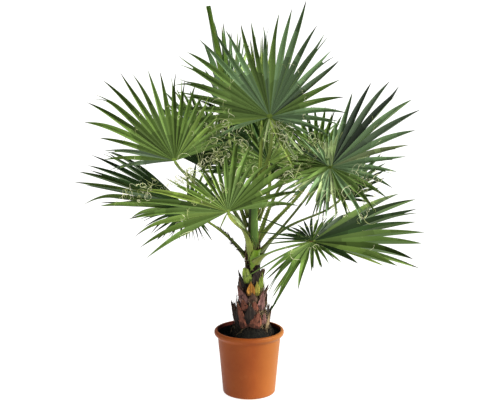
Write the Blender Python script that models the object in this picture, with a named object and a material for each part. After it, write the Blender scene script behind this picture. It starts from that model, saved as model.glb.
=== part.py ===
"""A potted fan palm: a plain nursery pot filled with soil, a short stout trunk clad in cut leaf bases, a
green crown shaft, and fan fronds on long stalks. Metres, +Z up. The origin is the middle of the pot's flat
underside, and the palm faces -Y."""

import math
import random
from dataclasses import dataclass

import bmesh
import bpy
from mathutils import Vector

UP = Vector((0, 0, 1))
RIGHT = Vector((1, 0, 0))
BACK = Vector((0, 1, 0))
FRONT = -BACK
GAP = 0.0003  # between pieces that touch
TURN = 2 * math.pi

# Pot
POT_HEIGHT = 0.285
POT_FOOT_RADIUS = 0.115
POT_NECK_RADIUS = 0.1365
POT_LIP_RADIUS = 0.1525
POT_LIP_DEPTH = 0.032
POT_LIP_ROUND = 0.009
POT_LIP_UNDERCUT = 0.006  # how far up under the lip its belly starts
POT_NECK_STEP = 0.006  # how far the lip's foot stands out from the neck
POT_MOUTH_RADIUS = 0.1385
POT_MOUTH_EDGE = 0.003  # how far below the lip's top the inner wall starts
POT_THROAT_DROP = 0.008  # how far below the lip the inner wall turns inwards
POT_WALL = 0.0035
POT_SIDES = 44
FOOT_ROUND = 0.005
SOIL_TOP = 0.268

# The pot's heights that follow from these
LIP_FOOT = POT_HEIGHT - POT_LIP_DEPTH
MOUTH_FOOT = POT_HEIGHT - POT_MOUTH_EDGE
THROAT = LIP_FOOT - POT_THROAT_DROP
THROAT_RADIUS = POT_NECK_RADIUS - POT_WALL
FLOOR_RADIUS = POT_FOOT_RADIUS - POT_WALL

# Trunk, a bulb clad in cut leaf bases
TRUNK_FOOT = SOIL_TOP + GAP
TRUNK_TOP = 0.575
TRUNK_GIRTH = ((0.0, 0.070), (0.3, 0.071), (0.5, 0.054), (0.75, 0.042), (1.0, 0.031))
TRUNK_BEND = ((0.0, 0.012), (0.4, 0.008), (0.7, 0.012), (1.0, 0.016))
TRUNK_RINGS = 9
TRUNK_SIDES = 16
BOOT_COUNT = 27
BOOT_STEP = math.radians(137.5)  # the turn from one leaf base to the next one up
BOOT_START = math.radians(-120)
BOOT_LOWEST, BOOT_HIGHEST = 0.290, 0.528  # how high the lowest and the highest one start
BOOT_SHAPE = ((-0.010, 0.062, 0.018), (0.020, 0.060, 0.019), (0.050, 0.044, 0.015), (0.074, 0.030, 0.011))
BOOT_SIDES = 6
BOOT_SINK = 0.007  # how far a leaf base's foot sits inside the core
BOOT_SIZES = 1.15, 0.72  # the lowest one's scale and the highest one's
BOOT_LEANS = 16, 22  # degrees off the trunk, the lowest one's and the highest one's
BOOT_CUT = 24  # degrees of slant of the cut end

# Crown shaft, the green bundle of young leaf stalks that the trunk ends in
SHAFT_FOOT = TRUNK_TOP + GAP
SHAFT_TOP = 0.835
SHAFT_FOOT_RADIUS = 0.031
SHAFT_TOP_RADIUS = 0.019
SHAFT_SIDES = 14
SHAFT_FOOT_X, SHAFT_TOP_X = 0.016, 0.018

# Leaf stalks
STALK_RINGS = 9
STALK_SIDES = 6
STALK_TIP_WIDTH = 0.0145
STALK_TIP_DEPTH = 0.0090
STALK_SPREAD = 1.5  # a stalk's width near its foot over its width at the tip
STALK_STANDOFF = 0.012  # how far a stalk swings clear of the shaft as it leaves

# Fan blades
BLADE_HUB_RADIUS = 0.014
BLADE_THICKNESS = 0.0046
BLADE_TIP_THICKNESS = 0.003
BLADE_SPLIT = 0.46  # the share of a leaflet's length that is joined to its neighbours
FOLD = 0.62  # a leaflet's fold depth over its half width
FREE_WIDTH = 0.72  # a free leaflet's width halfway to its tip, over its width at the split
FREE_THICKNESS = 0.0039  # a free leaflet's, halfway to its tip
SPLITS = 0.94, 1.04  # how the depths of the splits vary
LENGTHS = 0.95, 1.02  # how the leaflets' lengths vary
LOOSE_SAG = 0.03  # the most that a free leaflet sags below its neighbours, over its length


@dataclass(frozen=True)
class Frond:
    """One fan frond. Its hub is where the stalk meets the blade. Swing, lean and turn place the blade: the
    way its middle leaflet points as the front shows it, counted from +X up to +Z, how far that tips back,
    and how far the face is turned about it from facing the front. The outline gives the leaflets' lengths
    round the hub, each with its angle from the middle one, right-hand leaflets first. Angles are in
    degrees."""

    name: str
    hub: tuple
    swing: float
    lean: float
    turn: float
    leaflets: int
    outline: tuple
    foot: tuple  # height on the crown shaft, direction seen from above, rise of the stalk there
    foot_size: tuple = (0.032, 0.034)
    arch: tuple = (0.14, 0.14)  # how far the stalk keeps its first and its last direction
    stout: float = 1.0  # the stalk's girth over that of a plain one
    cup: float = 8
    droop: float = 0.04  # the middle leaflet's sag over its length
    side_droop: float = 0.10  # how much more the outermost ones sag
    seed: int = 1

    def axes(self):
        """The blade's own directions: along its middle leaflet, to its left, and out of its upper face."""
        swing, lean, turn = (math.radians(a) for a in (self.swing, self.lean, self.turn))
        along = Vector((math.cos(swing) * math.cos(lean), math.sin(lean), math.sin(swing) * math.cos(lean)))
        flat = (FRONT - along * FRONT.dot(along)).normalized()
        face = flat * math.cos(turn) + along.cross(flat) * math.sin(turn)
        return along, face.cross(along), face

    def heading(self, angle):
        """The way a leaflet leaves the hub, lifted off the blade's plane by its cup."""
        along, left, face = self.axes()
        flat = along * math.cos(angle) + left * math.sin(angle)
        cup = math.radians(self.cup)
        return flat * math.cos(cup) + face * math.sin(cup)

    def length(self, angle):
        """How long a leaflet at this angle is."""
        return along_list(self.outline, math.degrees(angle))

    def point(self, angle, radius, lift=0.0):
        """A point of the blade, this far from the hub, sagging more the further out and to the side it is."""
        heading = self.heading(angle)
        reach = self.length(angle)
        span = self.outline[-1][0] if angle > 0 else -self.outline[0][0]
        droop = self.droop + self.side_droop * min(abs(math.degrees(angle)) / span, 1) ** 2
        sag = droop * reach * (radius / reach) ** 2.5 * (1 - 0.7 * heading.z**2)
        return Vector(self.hub) + heading * radius + self.axes()[2] * lift - UP * sag


FRONDS = (
    Frond("top", (0.088, -0.05, 1.223), 97, 12, -25, 33,
          ((-166.4, 0.13), (-155, 0.17), (-140, 0.19), (-120, 0.20), (-110, 0.26), (-100, 0.37), (-80, 0.40),
           (-58, 0.45), (-40, 0.48), (-33, 0.56), (-26, 0.49), (-16, 0.45), (-5, 0.41), (12, 0.43),
           (35, 0.47), (52, 0.51), (62, 0.43), (78, 0.43), (90, 0.28), (100, 0.26)),
          (None, 60, 80), arch=(0.10, 0.16), cup=12, seed=1),
    Frond("front", (-0.087, -0.20, 0.848), 110, 36, 4, 22,
          ((-104, 0.30), (-75, 0.35), (-65, 0.44), (-54, 0.27), (-34, 0.30), (-25, 0.40), (-12, 0.28),
           (10, 0.26), (40, 0.29), (50, 0.42), (60, 0.46), (72, 0.40), (104, 0.38)),
          (0.645, -115, 80), arch=(0.13, 0.06), stout=1.25, cup=6, side_droop=0.06, seed=2),
    Frond("left", (-0.313, -0.04, 1.035), 115, 10, 12, 22,
          ((-95, 0.25), (-48, 0.34), (-23, 0.40), (0, 0.43), (15, 0.47), (34, 0.49), (42, 0.36), (58, 0.32),
           (72, 0.29)),
          (0.715, 212, 60), foot_size=(0.026, 0.028), arch=(0.14, 0.06), cup=12, side_droop=0.05, seed=3),
    Frond("right", (0.344, -0.02, 1.006), 45, 10, -50, 30,
          ((-144, 0.26), (-125, 0.25), (-92, 0.37), (-60, 0.36), (-34, 0.40), (-27, 0.49),
           (0, 0.475), (16, 0.45), (28, 0.37), (40, 0.20), (100, 0.20), (130, 0.22), (148.8, 0.26)),
          (0.640, -5, 46), seed=4),
    Frond("right_low", (0.263, -0.16, 0.714), 8, 1, -70, 27,
          ((-144, 0.28), (-130, 0.32), (-120, 0.42), (-112, 0.44), (-103, 0.24), (-83, 0.19),
           (-62, 0.20), (-50, 0.32), (-39, 0.49), (0, 0.46), (24, 0.50), (33, 0.50), (42, 0.30),
           (62, 0.19), (85, 0.20), (105, 0.17), (144, 0.17)),
          (0.600, -60, 40), foot_size=(0.048, 0.044), arch=(0.10, 0.10), cup=6, side_droop=0.10, seed=5),
    Frond("left_low", (-0.263, 0.10, 0.796), 155, 10, 60, 21,
          ((-20, 0.50), (20, 0.52), (33, 0.49), (45, 0.26), (78, 0.26), (106, 0.18), (138, 0.18)),
          (0.610, 165, 55), foot_size=(0.034, 0.034), arch=(0.12, 0.12), cup=6, side_droop=0.15, seed=6),
    Frond("top_rear", (-0.093, 0.25, 1.180), 95, 5, 50, 12,
          ((-60, 0.30), (-20, 0.38), (0, 0.41), (12, 0.43), (18, 0.58), (28, 0.34), (48, 0.26)),
          (0.780, 138, 75), arch=(0.10, 0.14), seed=7),
    Frond("left_rear", (-0.154, 0.16, 1.053), 115, 10, -50, 15,
          ((-70, 0.20), (-10, 0.32), (15, 0.35), (40, 0.30), (75, 0.20)),
          (0.740, 165, 75), arch=(0.10, 0.12), seed=8),
    Frond("right_rear", (0.300, 0.20, 1.000), 80, 20, 0, 21,
          ((-88, 0.22), (0, 0.26), (30, 0.26), (80, 0.20), (110, 0.22), (132, 0.28)),
          (0.680, 35, 52), arch=(0.12, 0.14), seed=9),
    Frond("young", (0.052, 0.10, 1.184), 91, 3, 0, 7,
          ((-9, 0.36), (0, 0.38), (9, 0.36)),
          (0.800, 60, 80), arch=(0.10, 0.12), cup=2, seed=10),
    Frond("right_mid", (0.40, 0.18, 0.825), 40, 18, -60, 15,
          ((-70, 0.16), (0, 0.31), (90, 0.20)),
          (0.605, 32, 60), arch=(0.20, 0.12), seed=11),
    Frond("rear_right", (0.20, 0.32, 0.93), 30, 35, -60, 19,
          ((-100, 0.28), (0, 0.42), (50, 0.28), (100, 0.22)),
          (0.645, 65, 50), arch=(0.12, 0.14), seed=12),
    Frond("rear_left", (-0.21, 0.30, 0.95), 130, 35, 40, 17,
          ((-100, 0.28), (0, 0.42), (40, 0.34)),
          (0.690, 140, 66), foot_size=(0.028, 0.030), arch=(0.14, 0.10), seed=13),
    Frond("rear_high", (0.02, 0.34, 1.08), 95, 32, 0, 25,
          ((-145, 0.22), (-50, 0.22), (0, 0.40), (60, 0.30), (125, 0.28), (145, 0.24)),
          (0.735, 82, 62), arch=(0.12, 0.14), seed=14),
    Frond("rear_low", (0.02, 0.34, 0.89), 85, 72, 0, 17,
          ((-90, 0.28), (0, 0.42), (90, 0.26)),
          (0.615, 95, 40), arch=(0.12, 0.12), seed=15),
    Frond("middle", (0.085, 0.15, 1.00), 100, 25, 10, 19,
          ((-120, 0.14), (-40, 0.18), (0, 0.24), (60, 0.24), (120, 0.20)),
          (0.770, 35, 66), arch=(0.10, 0.12), seed=16),
)


def along_list(pairs, place):
    """Reads a value off a short list of (place, value) pairs."""
    for (p0, v0), (p1, v1) in zip(pairs, pairs[1:]):
        if place <= p1:
            return v0 + (v1 - v0) * max(place - p0, 0) / (p1 - p0)
    return pairs[-1][1]


def material(name, colour, roughness):
    """A plain finish of one colour."""
    made = bpy.data.materials.new(name)
    made.use_nodes = True
    shader = made.node_tree.nodes["Principled BSDF"]
    shader.inputs["Base Color"].default_value = (*colour, 1)
    shader.inputs["Roughness"].default_value = roughness
    made.diffuse_color = (*colour, 1)
    return made


def place(name, mesh, finish, smooth=True):
    """Puts a mesh in the scene as one named piece."""
    if smooth:
        mesh.shade_smooth()
        mesh.set_sharp_from_angle(angle=math.radians(30))
    mesh.materials.append(finish)
    piece = bpy.data.objects.new(name, mesh)
    bpy.context.scene.collection.objects.link(piece)
    return piece


def mesh_of(name, points, faces):
    """A mesh from points and faces."""
    mesh = bpy.data.meshes.new(name)
    mesh.from_pydata([tuple(p) for p in points], [], faces)
    mesh.validate()
    return mesh


def oval(centre, across, through, width, depth, sides):
    """A ring of points round a centre, counted from across towards through."""
    turns = [TURN * k / sides for k in range(sides)]
    return [centre + across * (width / 2 * math.cos(t)) + through * (depth / 2 * math.sin(t)) for t in turns]


def loft(name, rings):
    """A closed mesh through a stack of rings with as many points each."""
    sides = len(rings[0])
    faces = [
        (r * sides + k, r * sides + (k + 1) % sides, (r + 1) * sides + (k + 1) % sides, (r + 1) * sides + k)
        for r in range(len(rings) - 1)
        for k in range(sides)
    ]
    last = (len(rings) - 1) * sides
    faces += [tuple(range(sides))[::-1], tuple(range(last, last + sides))]
    mesh = mesh_of(name, [p for ring in rings for p in ring], faces)
    shape = bmesh.new()
    shape.from_mesh(mesh)
    bmesh.ops.recalc_face_normals(shape, faces=shape.faces)
    shape.to_mesh(mesh)
    shape.free()
    return mesh


def turned(name, profile, sides):
    """A closed mesh turned from a profile of (radius, height) points."""
    turns = [TURN * k / sides for k in range(sides)]
    return loft(name, [[Vector((r * math.cos(t), r * math.sin(t), z)) for t in turns] for r, z in profile])


def arc(centre, radius, start, end, steps):
    """Points of a profile on an arc, its angles in degrees."""
    turns = [math.radians(start + (end - start) * k / steps) for k in range(steps + 1)]
    return [(centre[0] + radius * math.cos(t), centre[1] + radius * math.sin(t)) for t in turns]


def pot():
    """The pot: a thin tapering wall, a flat floor and a rolled lip."""
    lip_centre = POT_LIP_RADIUS - POT_LIP_ROUND
    outside = (
        arc((POT_FOOT_RADIUS - FOOT_ROUND, FOOT_ROUND), FOOT_ROUND, -90, 0, 3)
        + [(POT_NECK_RADIUS, LIP_FOOT - GAP), (POT_NECK_RADIUS + POT_NECK_STEP, LIP_FOOT)]
        + arc((lip_centre, LIP_FOOT + POT_LIP_UNDERCUT + POT_LIP_ROUND), POT_LIP_ROUND, -55, 10, 2)
        + arc((lip_centre, POT_HEIGHT - POT_LIP_ROUND), POT_LIP_ROUND, 10, 90, 3)
    )
    inside = [(POT_MOUTH_RADIUS, MOUTH_FOOT), (THROAT_RADIUS, THROAT), (FLOOR_RADIUS, POT_WALL)]
    finish = material("terracotta", (0.42, 0.13, 0.04), 0.45)
    return place("pot", turned("pot", outside + inside, POT_SIDES), finish)


def soil():
    """The root ball: it fills the pot up to just under the lip, clear of its wall."""
    clear = GAP * 2
    rise = (SOIL_TOP - THROAT) / (MOUTH_FOOT - THROAT)
    edge = THROAT_RADIUS + (POT_MOUTH_RADIUS - THROAT_RADIUS) * rise
    bottom = (FLOOR_RADIUS - clear, POT_WALL + GAP)
    profile = [bottom, (THROAT_RADIUS - clear, THROAT), (edge - clear, SOIL_TOP)]
    return place("soil", turned("soil", profile, POT_SIDES), material("soil", (0.012, 0.011, 0.010), 0.95))


def trunk_centre(share):
    """The middle of the trunk at a share of its height."""
    return Vector((along_list(TRUNK_BEND, share), 0, TRUNK_FOOT + (TRUNK_TOP - TRUNK_FOOT) * share))


def trunk_ring(share):
    """The outline of the trunk's core at a share of its height."""
    girth = 2 * along_list(TRUNK_GIRTH, share)
    return oval(trunk_centre(share), RIGHT, BACK, girth, girth, TRUNK_SIDES)


def boot(step):
    """One cut leaf base. It hugs the trunk at its foot, stands off it further up, and ends in a slant."""
    share = step / (BOOT_COUNT - 1)
    height = BOOT_LOWEST + (BOOT_HIGHEST - BOOT_LOWEST) * share
    on_trunk = (height - TRUNK_FOOT) / (TRUNK_TOP - TRUNK_FOOT)
    girth = along_list(TRUNK_GIRTH, on_trunk)
    turn = BOOT_START + BOOT_STEP * step
    out = Vector((math.cos(turn), math.sin(turn), 0))
    across = out.cross(UP)
    rng = random.Random(step)
    size = (BOOT_SIZES[0] + (BOOT_SIZES[1] - BOOT_SIZES[0]) * share) * rng.uniform(0.92, 1.08)
    lean = math.radians(BOOT_LEANS[0] + (BOOT_LEANS[1] - BOOT_LEANS[0]) * share + rng.uniform(-4, 4))
    climb = out * math.sin(lean) + UP * math.cos(lean)
    foot = trunk_centre(on_trunk) + out * (girth - BOOT_SINK)
    rings = []
    for ring in BOOT_SHAPE:
        along, width, depth = (size * value for value in ring)
        level = math.radians(BOOT_CUT) if ring is BOOT_SHAPE[-1] else 0
        through = across.cross(climb) * math.cos(level) + climb * math.sin(level)
        rings.append(oval(foot + climb * along, across, through, width, depth, BOOT_SIDES))
    return loft(f"boot_{step}", rings)


def trunk():
    """The trunk: a bulbous core with its cut leaf bases joined on."""
    core = loft("trunk", [trunk_ring(k / (TRUNK_RINGS - 1)) for k in range(TRUNK_RINGS)])
    piece = place("trunk", core, material("old_leaf_bases", (0.10, 0.05, 0.035), 0.85))
    boots = bpy.data.collections.new("boots")
    for step in range(BOOT_COUNT):
        boots.objects.link(bpy.data.objects.new(f"boot_{step}", boot(step)))
    join = piece.modifiers.new("boots", "BOOLEAN")
    join.operation, join.operand_type, join.collection = "UNION", "COLLECTION", boots
    graph = bpy.context.evaluated_depsgraph_get()
    joined = bpy.data.meshes.new_from_object(piece.evaluated_get(graph))
    piece.modifiers.clear()
    piece.data = joined
    for helper in list(boots.objects):
        bpy.data.objects.remove(helper)
    bpy.data.collections.remove(boots)
    return piece


def shaft_centre(height):
    """The middle of the crown shaft at a height."""
    share = (height - SHAFT_FOOT) / (SHAFT_TOP - SHAFT_FOOT)
    return Vector((SHAFT_FOOT_X + (SHAFT_TOP_X - SHAFT_FOOT_X) * share, 0, height))


def shaft_radius(height):
    """The radius of the crown shaft at a height."""
    share = (height - SHAFT_FOOT) / (SHAFT_TOP - SHAFT_FOOT)
    return SHAFT_FOOT_RADIUS + (SHAFT_TOP_RADIUS - SHAFT_FOOT_RADIUS) * share


def shaft(finish):
    """The crown shaft: the green bundle of stalk bases above the trunk."""
    heights = [SHAFT_FOOT + (SHAFT_TOP - SHAFT_FOOT) * k / 4 for k in range(5)]
    widths = [2 * shaft_radius(height) for height in heights]
    rings = [oval(shaft_centre(height), RIGHT, BACK, width, width, SHAFT_SIDES)
             for height, width in zip(heights, widths)]
    return place("crown_shaft", loft("crown_shaft", rings), finish)


def stalk_ends(frond):
    """Where a frond's stalk starts and ends, and the directions in which it leaves and arrives."""
    height, direction, rise = frond.foot
    turn, rise = math.radians(direction), math.radians(rise)
    out = Vector((math.cos(turn), math.sin(turn), 0))
    climb = out * math.cos(rise) + UP * math.sin(rise)
    if height is None:
        start, out = shaft_centre(SHAFT_TOP) + UP * GAP, UP
    else:
        corner = max(math.cos(turn - TURN * k / SHAFT_SIDES) for k in range(SHAFT_SIDES))
        start = shaft_centre(height) + out * (shaft_radius(height - frond.foot_size[1] / 2) * corner + GAP)
    arrive = frond.heading(0)
    half_hub = BLADE_HUB_RADIUS * math.sin(min(math.radians(frond.outline[-1][0]), math.pi / 2))
    seat = math.sqrt(BLADE_HUB_RADIUS**2 - min(half_hub, STALK_TIP_WIDTH / 2) ** 2) - 1.5 * GAP
    return start, out, climb, Vector(frond.hub) + arrive * seat, arrive


def bezier(start, first, second, end, t):
    """A point on a cubic curve, and its direction there."""
    s = 1 - t
    point = start * s**3 + first * 3 * s * s * t + second * 3 * s * t * t + end * t**3
    slope = (first - start) * s * s + (second - first) * 2 * s * t + (end - second) * t * t
    return point, slope.normalized()


def stalk(frond, finish):
    """A frond's stalk: it leaves the crown shaft on a broad foot and tapers to the blade's hub."""
    start, out, climb, end, arrive = stalk_ends(frond)
    first, second = start + climb * frond.arch[0] + out * STALK_STANDOFF, end - arrive * frond.arch[1]
    left_at_hub = -frond.axes()[1]
    across_foot = out.cross(UP) if frond.foot[0] is not None else left_at_hub
    rings = []
    for k in range(STALK_RINGS):
        t = k / (STALK_RINGS - 1)
        point, slope = bezier(start, first, second, end, t)
        across = across_foot.lerp(left_at_hub, t)
        normal = out if k == 0 else slope
        across = (across - normal * across.dot(normal)).normalized()
        flare = (1 - t) ** 3
        spread = STALK_SPREAD * frond.stout
        along = spread + (1 - spread) * t
        width = STALK_TIP_WIDTH * along + (frond.foot_size[0] - STALK_TIP_WIDTH * spread) * flare
        depth = STALK_TIP_DEPTH * along + (frond.foot_size[1] - STALK_TIP_DEPTH * spread) * flare**2
        rings.append(oval(point, across, across.cross(normal), width, depth, STALK_SIDES))
    return place("stalk_" + frond.name, loft("stalk_" + frond.name, rings), finish)


def blade_sheet(frond):
    """The blade's middle surface: points, faces and the thickness at each point."""
    rng = random.Random(frond.seed)
    first, last = math.radians(frond.outline[0][0]), math.radians(frond.outline[-1][0])
    pitch = (last - first) / frond.leaflets
    edges = [first + pitch * k for k in range(frond.leaflets + 1)]
    points, faces, thick = [], [], []

    def add(point, thickness=BLADE_THICKNESS):
        points.append(point)
        thick.append(thickness)
        return len(points) - 1

    def fold(width):
        return FOLD * width / 2

    hub_rise = fold(BLADE_HUB_RADIUS * math.tan(pitch / 2))
    hub_edges, split_edges = [], []
    for angle in edges:
        split = BLADE_SPLIT * frond.length(angle) * rng.uniform(*SPLITS)
        hub_edges.append(add(frond.point(angle, BLADE_HUB_RADIUS, hub_rise)))
        split_edges.append(add(frond.point(angle, split, fold(split * math.tan(pitch / 2)))))
    for k in range(frond.leaflets):
        angle = (edges[k] + edges[k + 1]) / 2
        split = BLADE_SPLIT * frond.length(angle)
        length = frond.length(angle) * rng.uniform(*LENGTHS)
        half = split * math.tan(pitch / 2)
        middle = (split + length) / 2
        hub_rib = add(frond.point(angle, BLADE_HUB_RADIUS, -hub_rise))
        split_rib = add(frond.point(angle, split, -fold(half)))
        free = half * FREE_WIDTH
        spread = math.atan(free / middle)
        sag = UP * (rng.uniform(0, LOOSE_SAG) * length)
        mid_right = add(frond.point(angle - spread, middle, fold(free)) - sag / 4, FREE_THICKNESS)
        mid_rib = add(frond.point(angle, middle, -fold(free)) - sag / 4, FREE_THICKNESS)
        mid_left = add(frond.point(angle + spread, middle, fold(free)) - sag / 4, FREE_THICKNESS)
        tip = add(frond.point(angle, length) - sag, BLADE_TIP_THICKNESS)
        faces += [
            (hub_edges[k], split_edges[k], split_rib, hub_rib),
            (hub_rib, split_rib, split_edges[k + 1], hub_edges[k + 1]),
            (split_edges[k], mid_right, mid_rib, split_rib),
            (split_rib, mid_rib, mid_left, split_edges[k + 1]),
            (mid_right, tip, mid_rib),
            (mid_rib, tip, mid_left),
        ]
    return points, faces, thick


def thicken(name, points, faces, thick, face_way):
    """A closed mesh of a sheet made thick along one direction, with a rim round its open edges."""
    count = len(points)
    upper = [p + face_way * (t / 2) for p, t in zip(points, thick)]
    lower = [p - face_way * (t / 2) for p, t in zip(points, thick)]
    walked = {(f[k], f[(k + 1) % len(f)]) for f in faces for k in range(len(f))}
    rim = [(a, b) for a, b in sorted(walked) if (b, a) not in walked]
    shell = faces + [tuple(v + count for v in f[::-1]) for f in faces]
    shell += [(b, a, a + count, b + count) for a, b in rim]
    return mesh_of(name, upper + lower, shell)


def blade(frond, finish):
    """A frond's blade: a cupped, pleated fan whose leaflets part about halfway and droop."""
    name = "frond_" + frond.name
    points, faces, thick = blade_sheet(frond)
    return place(name, thicken(name, points, faces, thick, frond.axes()[2]), finish, smooth=False)


def main():
    """Clears the scene and builds the palm from the pot up."""
    for old in list(bpy.data.objects):
        bpy.data.objects.remove(old)
    pot()
    soil()
    trunk()
    stalk_green = material("stalk_green", (0.17, 0.24, 0.06), 0.5)
    leaf_green = material("leaf_green", (0.06, 0.13, 0.035), 0.5)
    shaft(stalk_green)
    for frond in FRONDS:
        stalk(frond, stalk_green)
        blade(frond, leaf_green)


main()
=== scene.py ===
"""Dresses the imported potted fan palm: a nursery pot, potting soil, a trunk clad in cut leaf bases, a crown
shaft, and pleated fans on thorny stalks with curly threads.

Metres, +Z up, in the frame's own axes. The origin is the middle of the pot's underside, and the palm faces -Y.
"""

import logging
import math
import random
from dataclasses import dataclass
from enum import Enum

import bpy
import numpy as np
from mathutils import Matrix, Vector, noise


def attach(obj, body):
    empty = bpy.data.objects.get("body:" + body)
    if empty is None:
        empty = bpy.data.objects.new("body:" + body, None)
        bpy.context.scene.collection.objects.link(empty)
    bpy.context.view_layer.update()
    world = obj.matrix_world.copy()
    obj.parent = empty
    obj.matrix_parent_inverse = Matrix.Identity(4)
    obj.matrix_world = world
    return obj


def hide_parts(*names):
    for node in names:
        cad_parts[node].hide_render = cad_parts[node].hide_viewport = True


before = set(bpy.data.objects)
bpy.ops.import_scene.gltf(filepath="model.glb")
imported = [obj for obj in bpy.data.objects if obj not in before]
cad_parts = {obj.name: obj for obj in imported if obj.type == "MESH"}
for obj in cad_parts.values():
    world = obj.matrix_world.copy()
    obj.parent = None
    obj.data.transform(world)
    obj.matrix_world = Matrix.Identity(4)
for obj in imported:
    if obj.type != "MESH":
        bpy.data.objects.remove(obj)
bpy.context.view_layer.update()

LOG = logging.getLogger("palm")
Array = np.ndarray
Colour = tuple[float, float, float]
Material = bpy.types.Material
Pairs = tuple[tuple[float, float], ...]
Piece = bpy.types.Object
Socket = bpy.types.NodeSocket

TURN = 2 * math.pi
UP = np.array((0.0, 0.0, 1.0))
RIGHT = np.array((1.0, 0.0, 0.0))
BACK = np.array((0.0, 1.0, 0.0))


def shade(red: int, green: int, blue: int) -> Colour:
    """Turns a display colour, 0 to 255 a channel, into the linear values that a shader takes.

    Args:
        red: The red channel.
        green: The green channel.
        blue: The blue channel.

    Returns:
        The three linear values.
    """
    shares = (channel / 255 for channel in (red, green, blue))
    return tuple(s / 12.92 if s <= 0.04045 else ((s + 0.055) / 1.055) ** 2.4 for s in shares)


def scaled(colour: Colour, factor: float) -> Colour:
    """A colour made lighter or darker."""
    return tuple(min(channel * factor, 1.0) for channel in colour)


def unit(vector: Array) -> Array:
    """The vector, or each row of an array of vectors, at length one."""
    return vector / np.maximum(np.linalg.norm(vector, axis=-1, keepdims=True), 1e-12)


def read_off(pairs: Pairs, place: float) -> float:
    """Reads a value off a short list of (place, value) pairs."""
    return float(np.interp(place, *zip(*pairs)))


def between(ends: tuple[float, float], share: float) -> float:
    """The value at a share of the way from one end to the other."""
    return ends[0] + (ends[1] - ends[0]) * share


def lumps(point: Array, scale: float = 1.0) -> float:
    """Smooth noise from -1 to 1 at a point."""
    return noise.noise(Vector(point) * scale)


def bearing(turn: float) -> Array:
    """The level direction at an angle from +X, in radians."""
    return np.array((math.cos(turn), math.sin(turn), 0))


def circle(points: int) -> Array:
    """Level directions evenly all round."""
    return np.array([bearing(turn) for turn in np.linspace(0, TURN, points, endpoint=False)])


def scatter(rng: random.Random, spread: float) -> Array:
    """A random vector, its three parts with this spread."""
    return np.array([rng.gauss(0, spread) for _ in range(3)])


def out_and_back(points: int) -> Array:
    """Places from 1 to -1 and back, for a section that has an outer and an inner face of so many points."""
    return np.concatenate([np.linspace(1, -1, points), np.linspace(-1, 1, points)])

class Draft:
    """The points and faces of one piece, gathered with a finish for each face."""

    def __init__(self) -> None:
        """Starts an empty piece."""
        self.points: list[Array] = []
        self.faces: list[tuple[int, ...]] = []
        self.finish_of: list[int] = []
        self.count = 0

    def add_points(self, points: Array) -> int:
        """Adds points and gives the number of the first one.

        Args:
            points: An array whose last axis is x, y, z.

        Returns:
            The index of the first new point.
        """
        flat = np.asarray(points, float).reshape(-1, 3)
        start = self.count
        self.points.append(flat)
        self.count += len(flat)
        return start

    def add_face(self, corners: tuple[int, ...], finish: int = 0) -> None:
        """Adds one face by the indices of its corners."""
        self.faces.append(corners)
        self.finish_of.append(finish)

    def add_tube(self, rings: Array, finish: int = 0, ends: tuple[int, int] | None = None) -> None:
        """Skins a row of rings, and closes both ends.

        Args:
            rings: Rings by points by x, y, z, each ring running anticlockwise as seen from its far end.
            finish: The finish of the sides.
            ends: The finishes of the first and the last end, which are the sides' own by default.
        """
        start = self.add_points(rings)
        count, sides = rings.shape[:2]
        for ring in range(count - 1):
            for side in range(sides):
                low, high = start + ring * sides, start + (ring + 1) * sides
                after = (side + 1) % sides
                self.add_face((low + side, low + after, high + after, high + side), finish)
        first, last = ends or (finish, finish)
        self.add_face(tuple(start + k for k in range(sides))[::-1], first)
        self.add_face(tuple(start + (count - 1) * sides + k for k in range(sides)), last)

    def piece(self, name: str, finishes: list[Material], crease: float | None = 35) -> Piece:
        """Makes the mesh object.

        Args:
            name: The piece's name.
            finishes: Its materials, in the order that the faces number them.
            crease: Faces that meet at more than this many degrees keep a sharp edge. None leaves all flat.

        Returns:
            The object, linked to the scene.
        """
        mesh = bpy.data.meshes.new(name)
        mesh.from_pydata(np.concatenate(self.points).tolist(), [], self.faces)
        mesh.polygons.foreach_set("material_index", self.finish_of)
        for finish in finishes:
            mesh.materials.append(finish)
        mesh.validate()
        if crease is not None:
            mesh.shade_smooth()
            mesh.set_sharp_from_angle(angle=math.radians(crease))
        made = bpy.data.objects.new(name, mesh)
        bpy.context.scene.collection.objects.link(made)
        return made


def settle(piece: Piece, slot: str, *nodes: str) -> None:
    """Puts a piece on the palm's one body, in place of its nodes, and reports it.

    Args:
        piece: The piece.
        slot: Its material slot. Not used.
        nodes: The nodes that it replaces.
    """
    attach(piece, "root")
    if nodes:
        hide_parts(*nodes)
    LOG.info("%s: %d faces", piece.name, len(piece.data.polygons))


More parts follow.
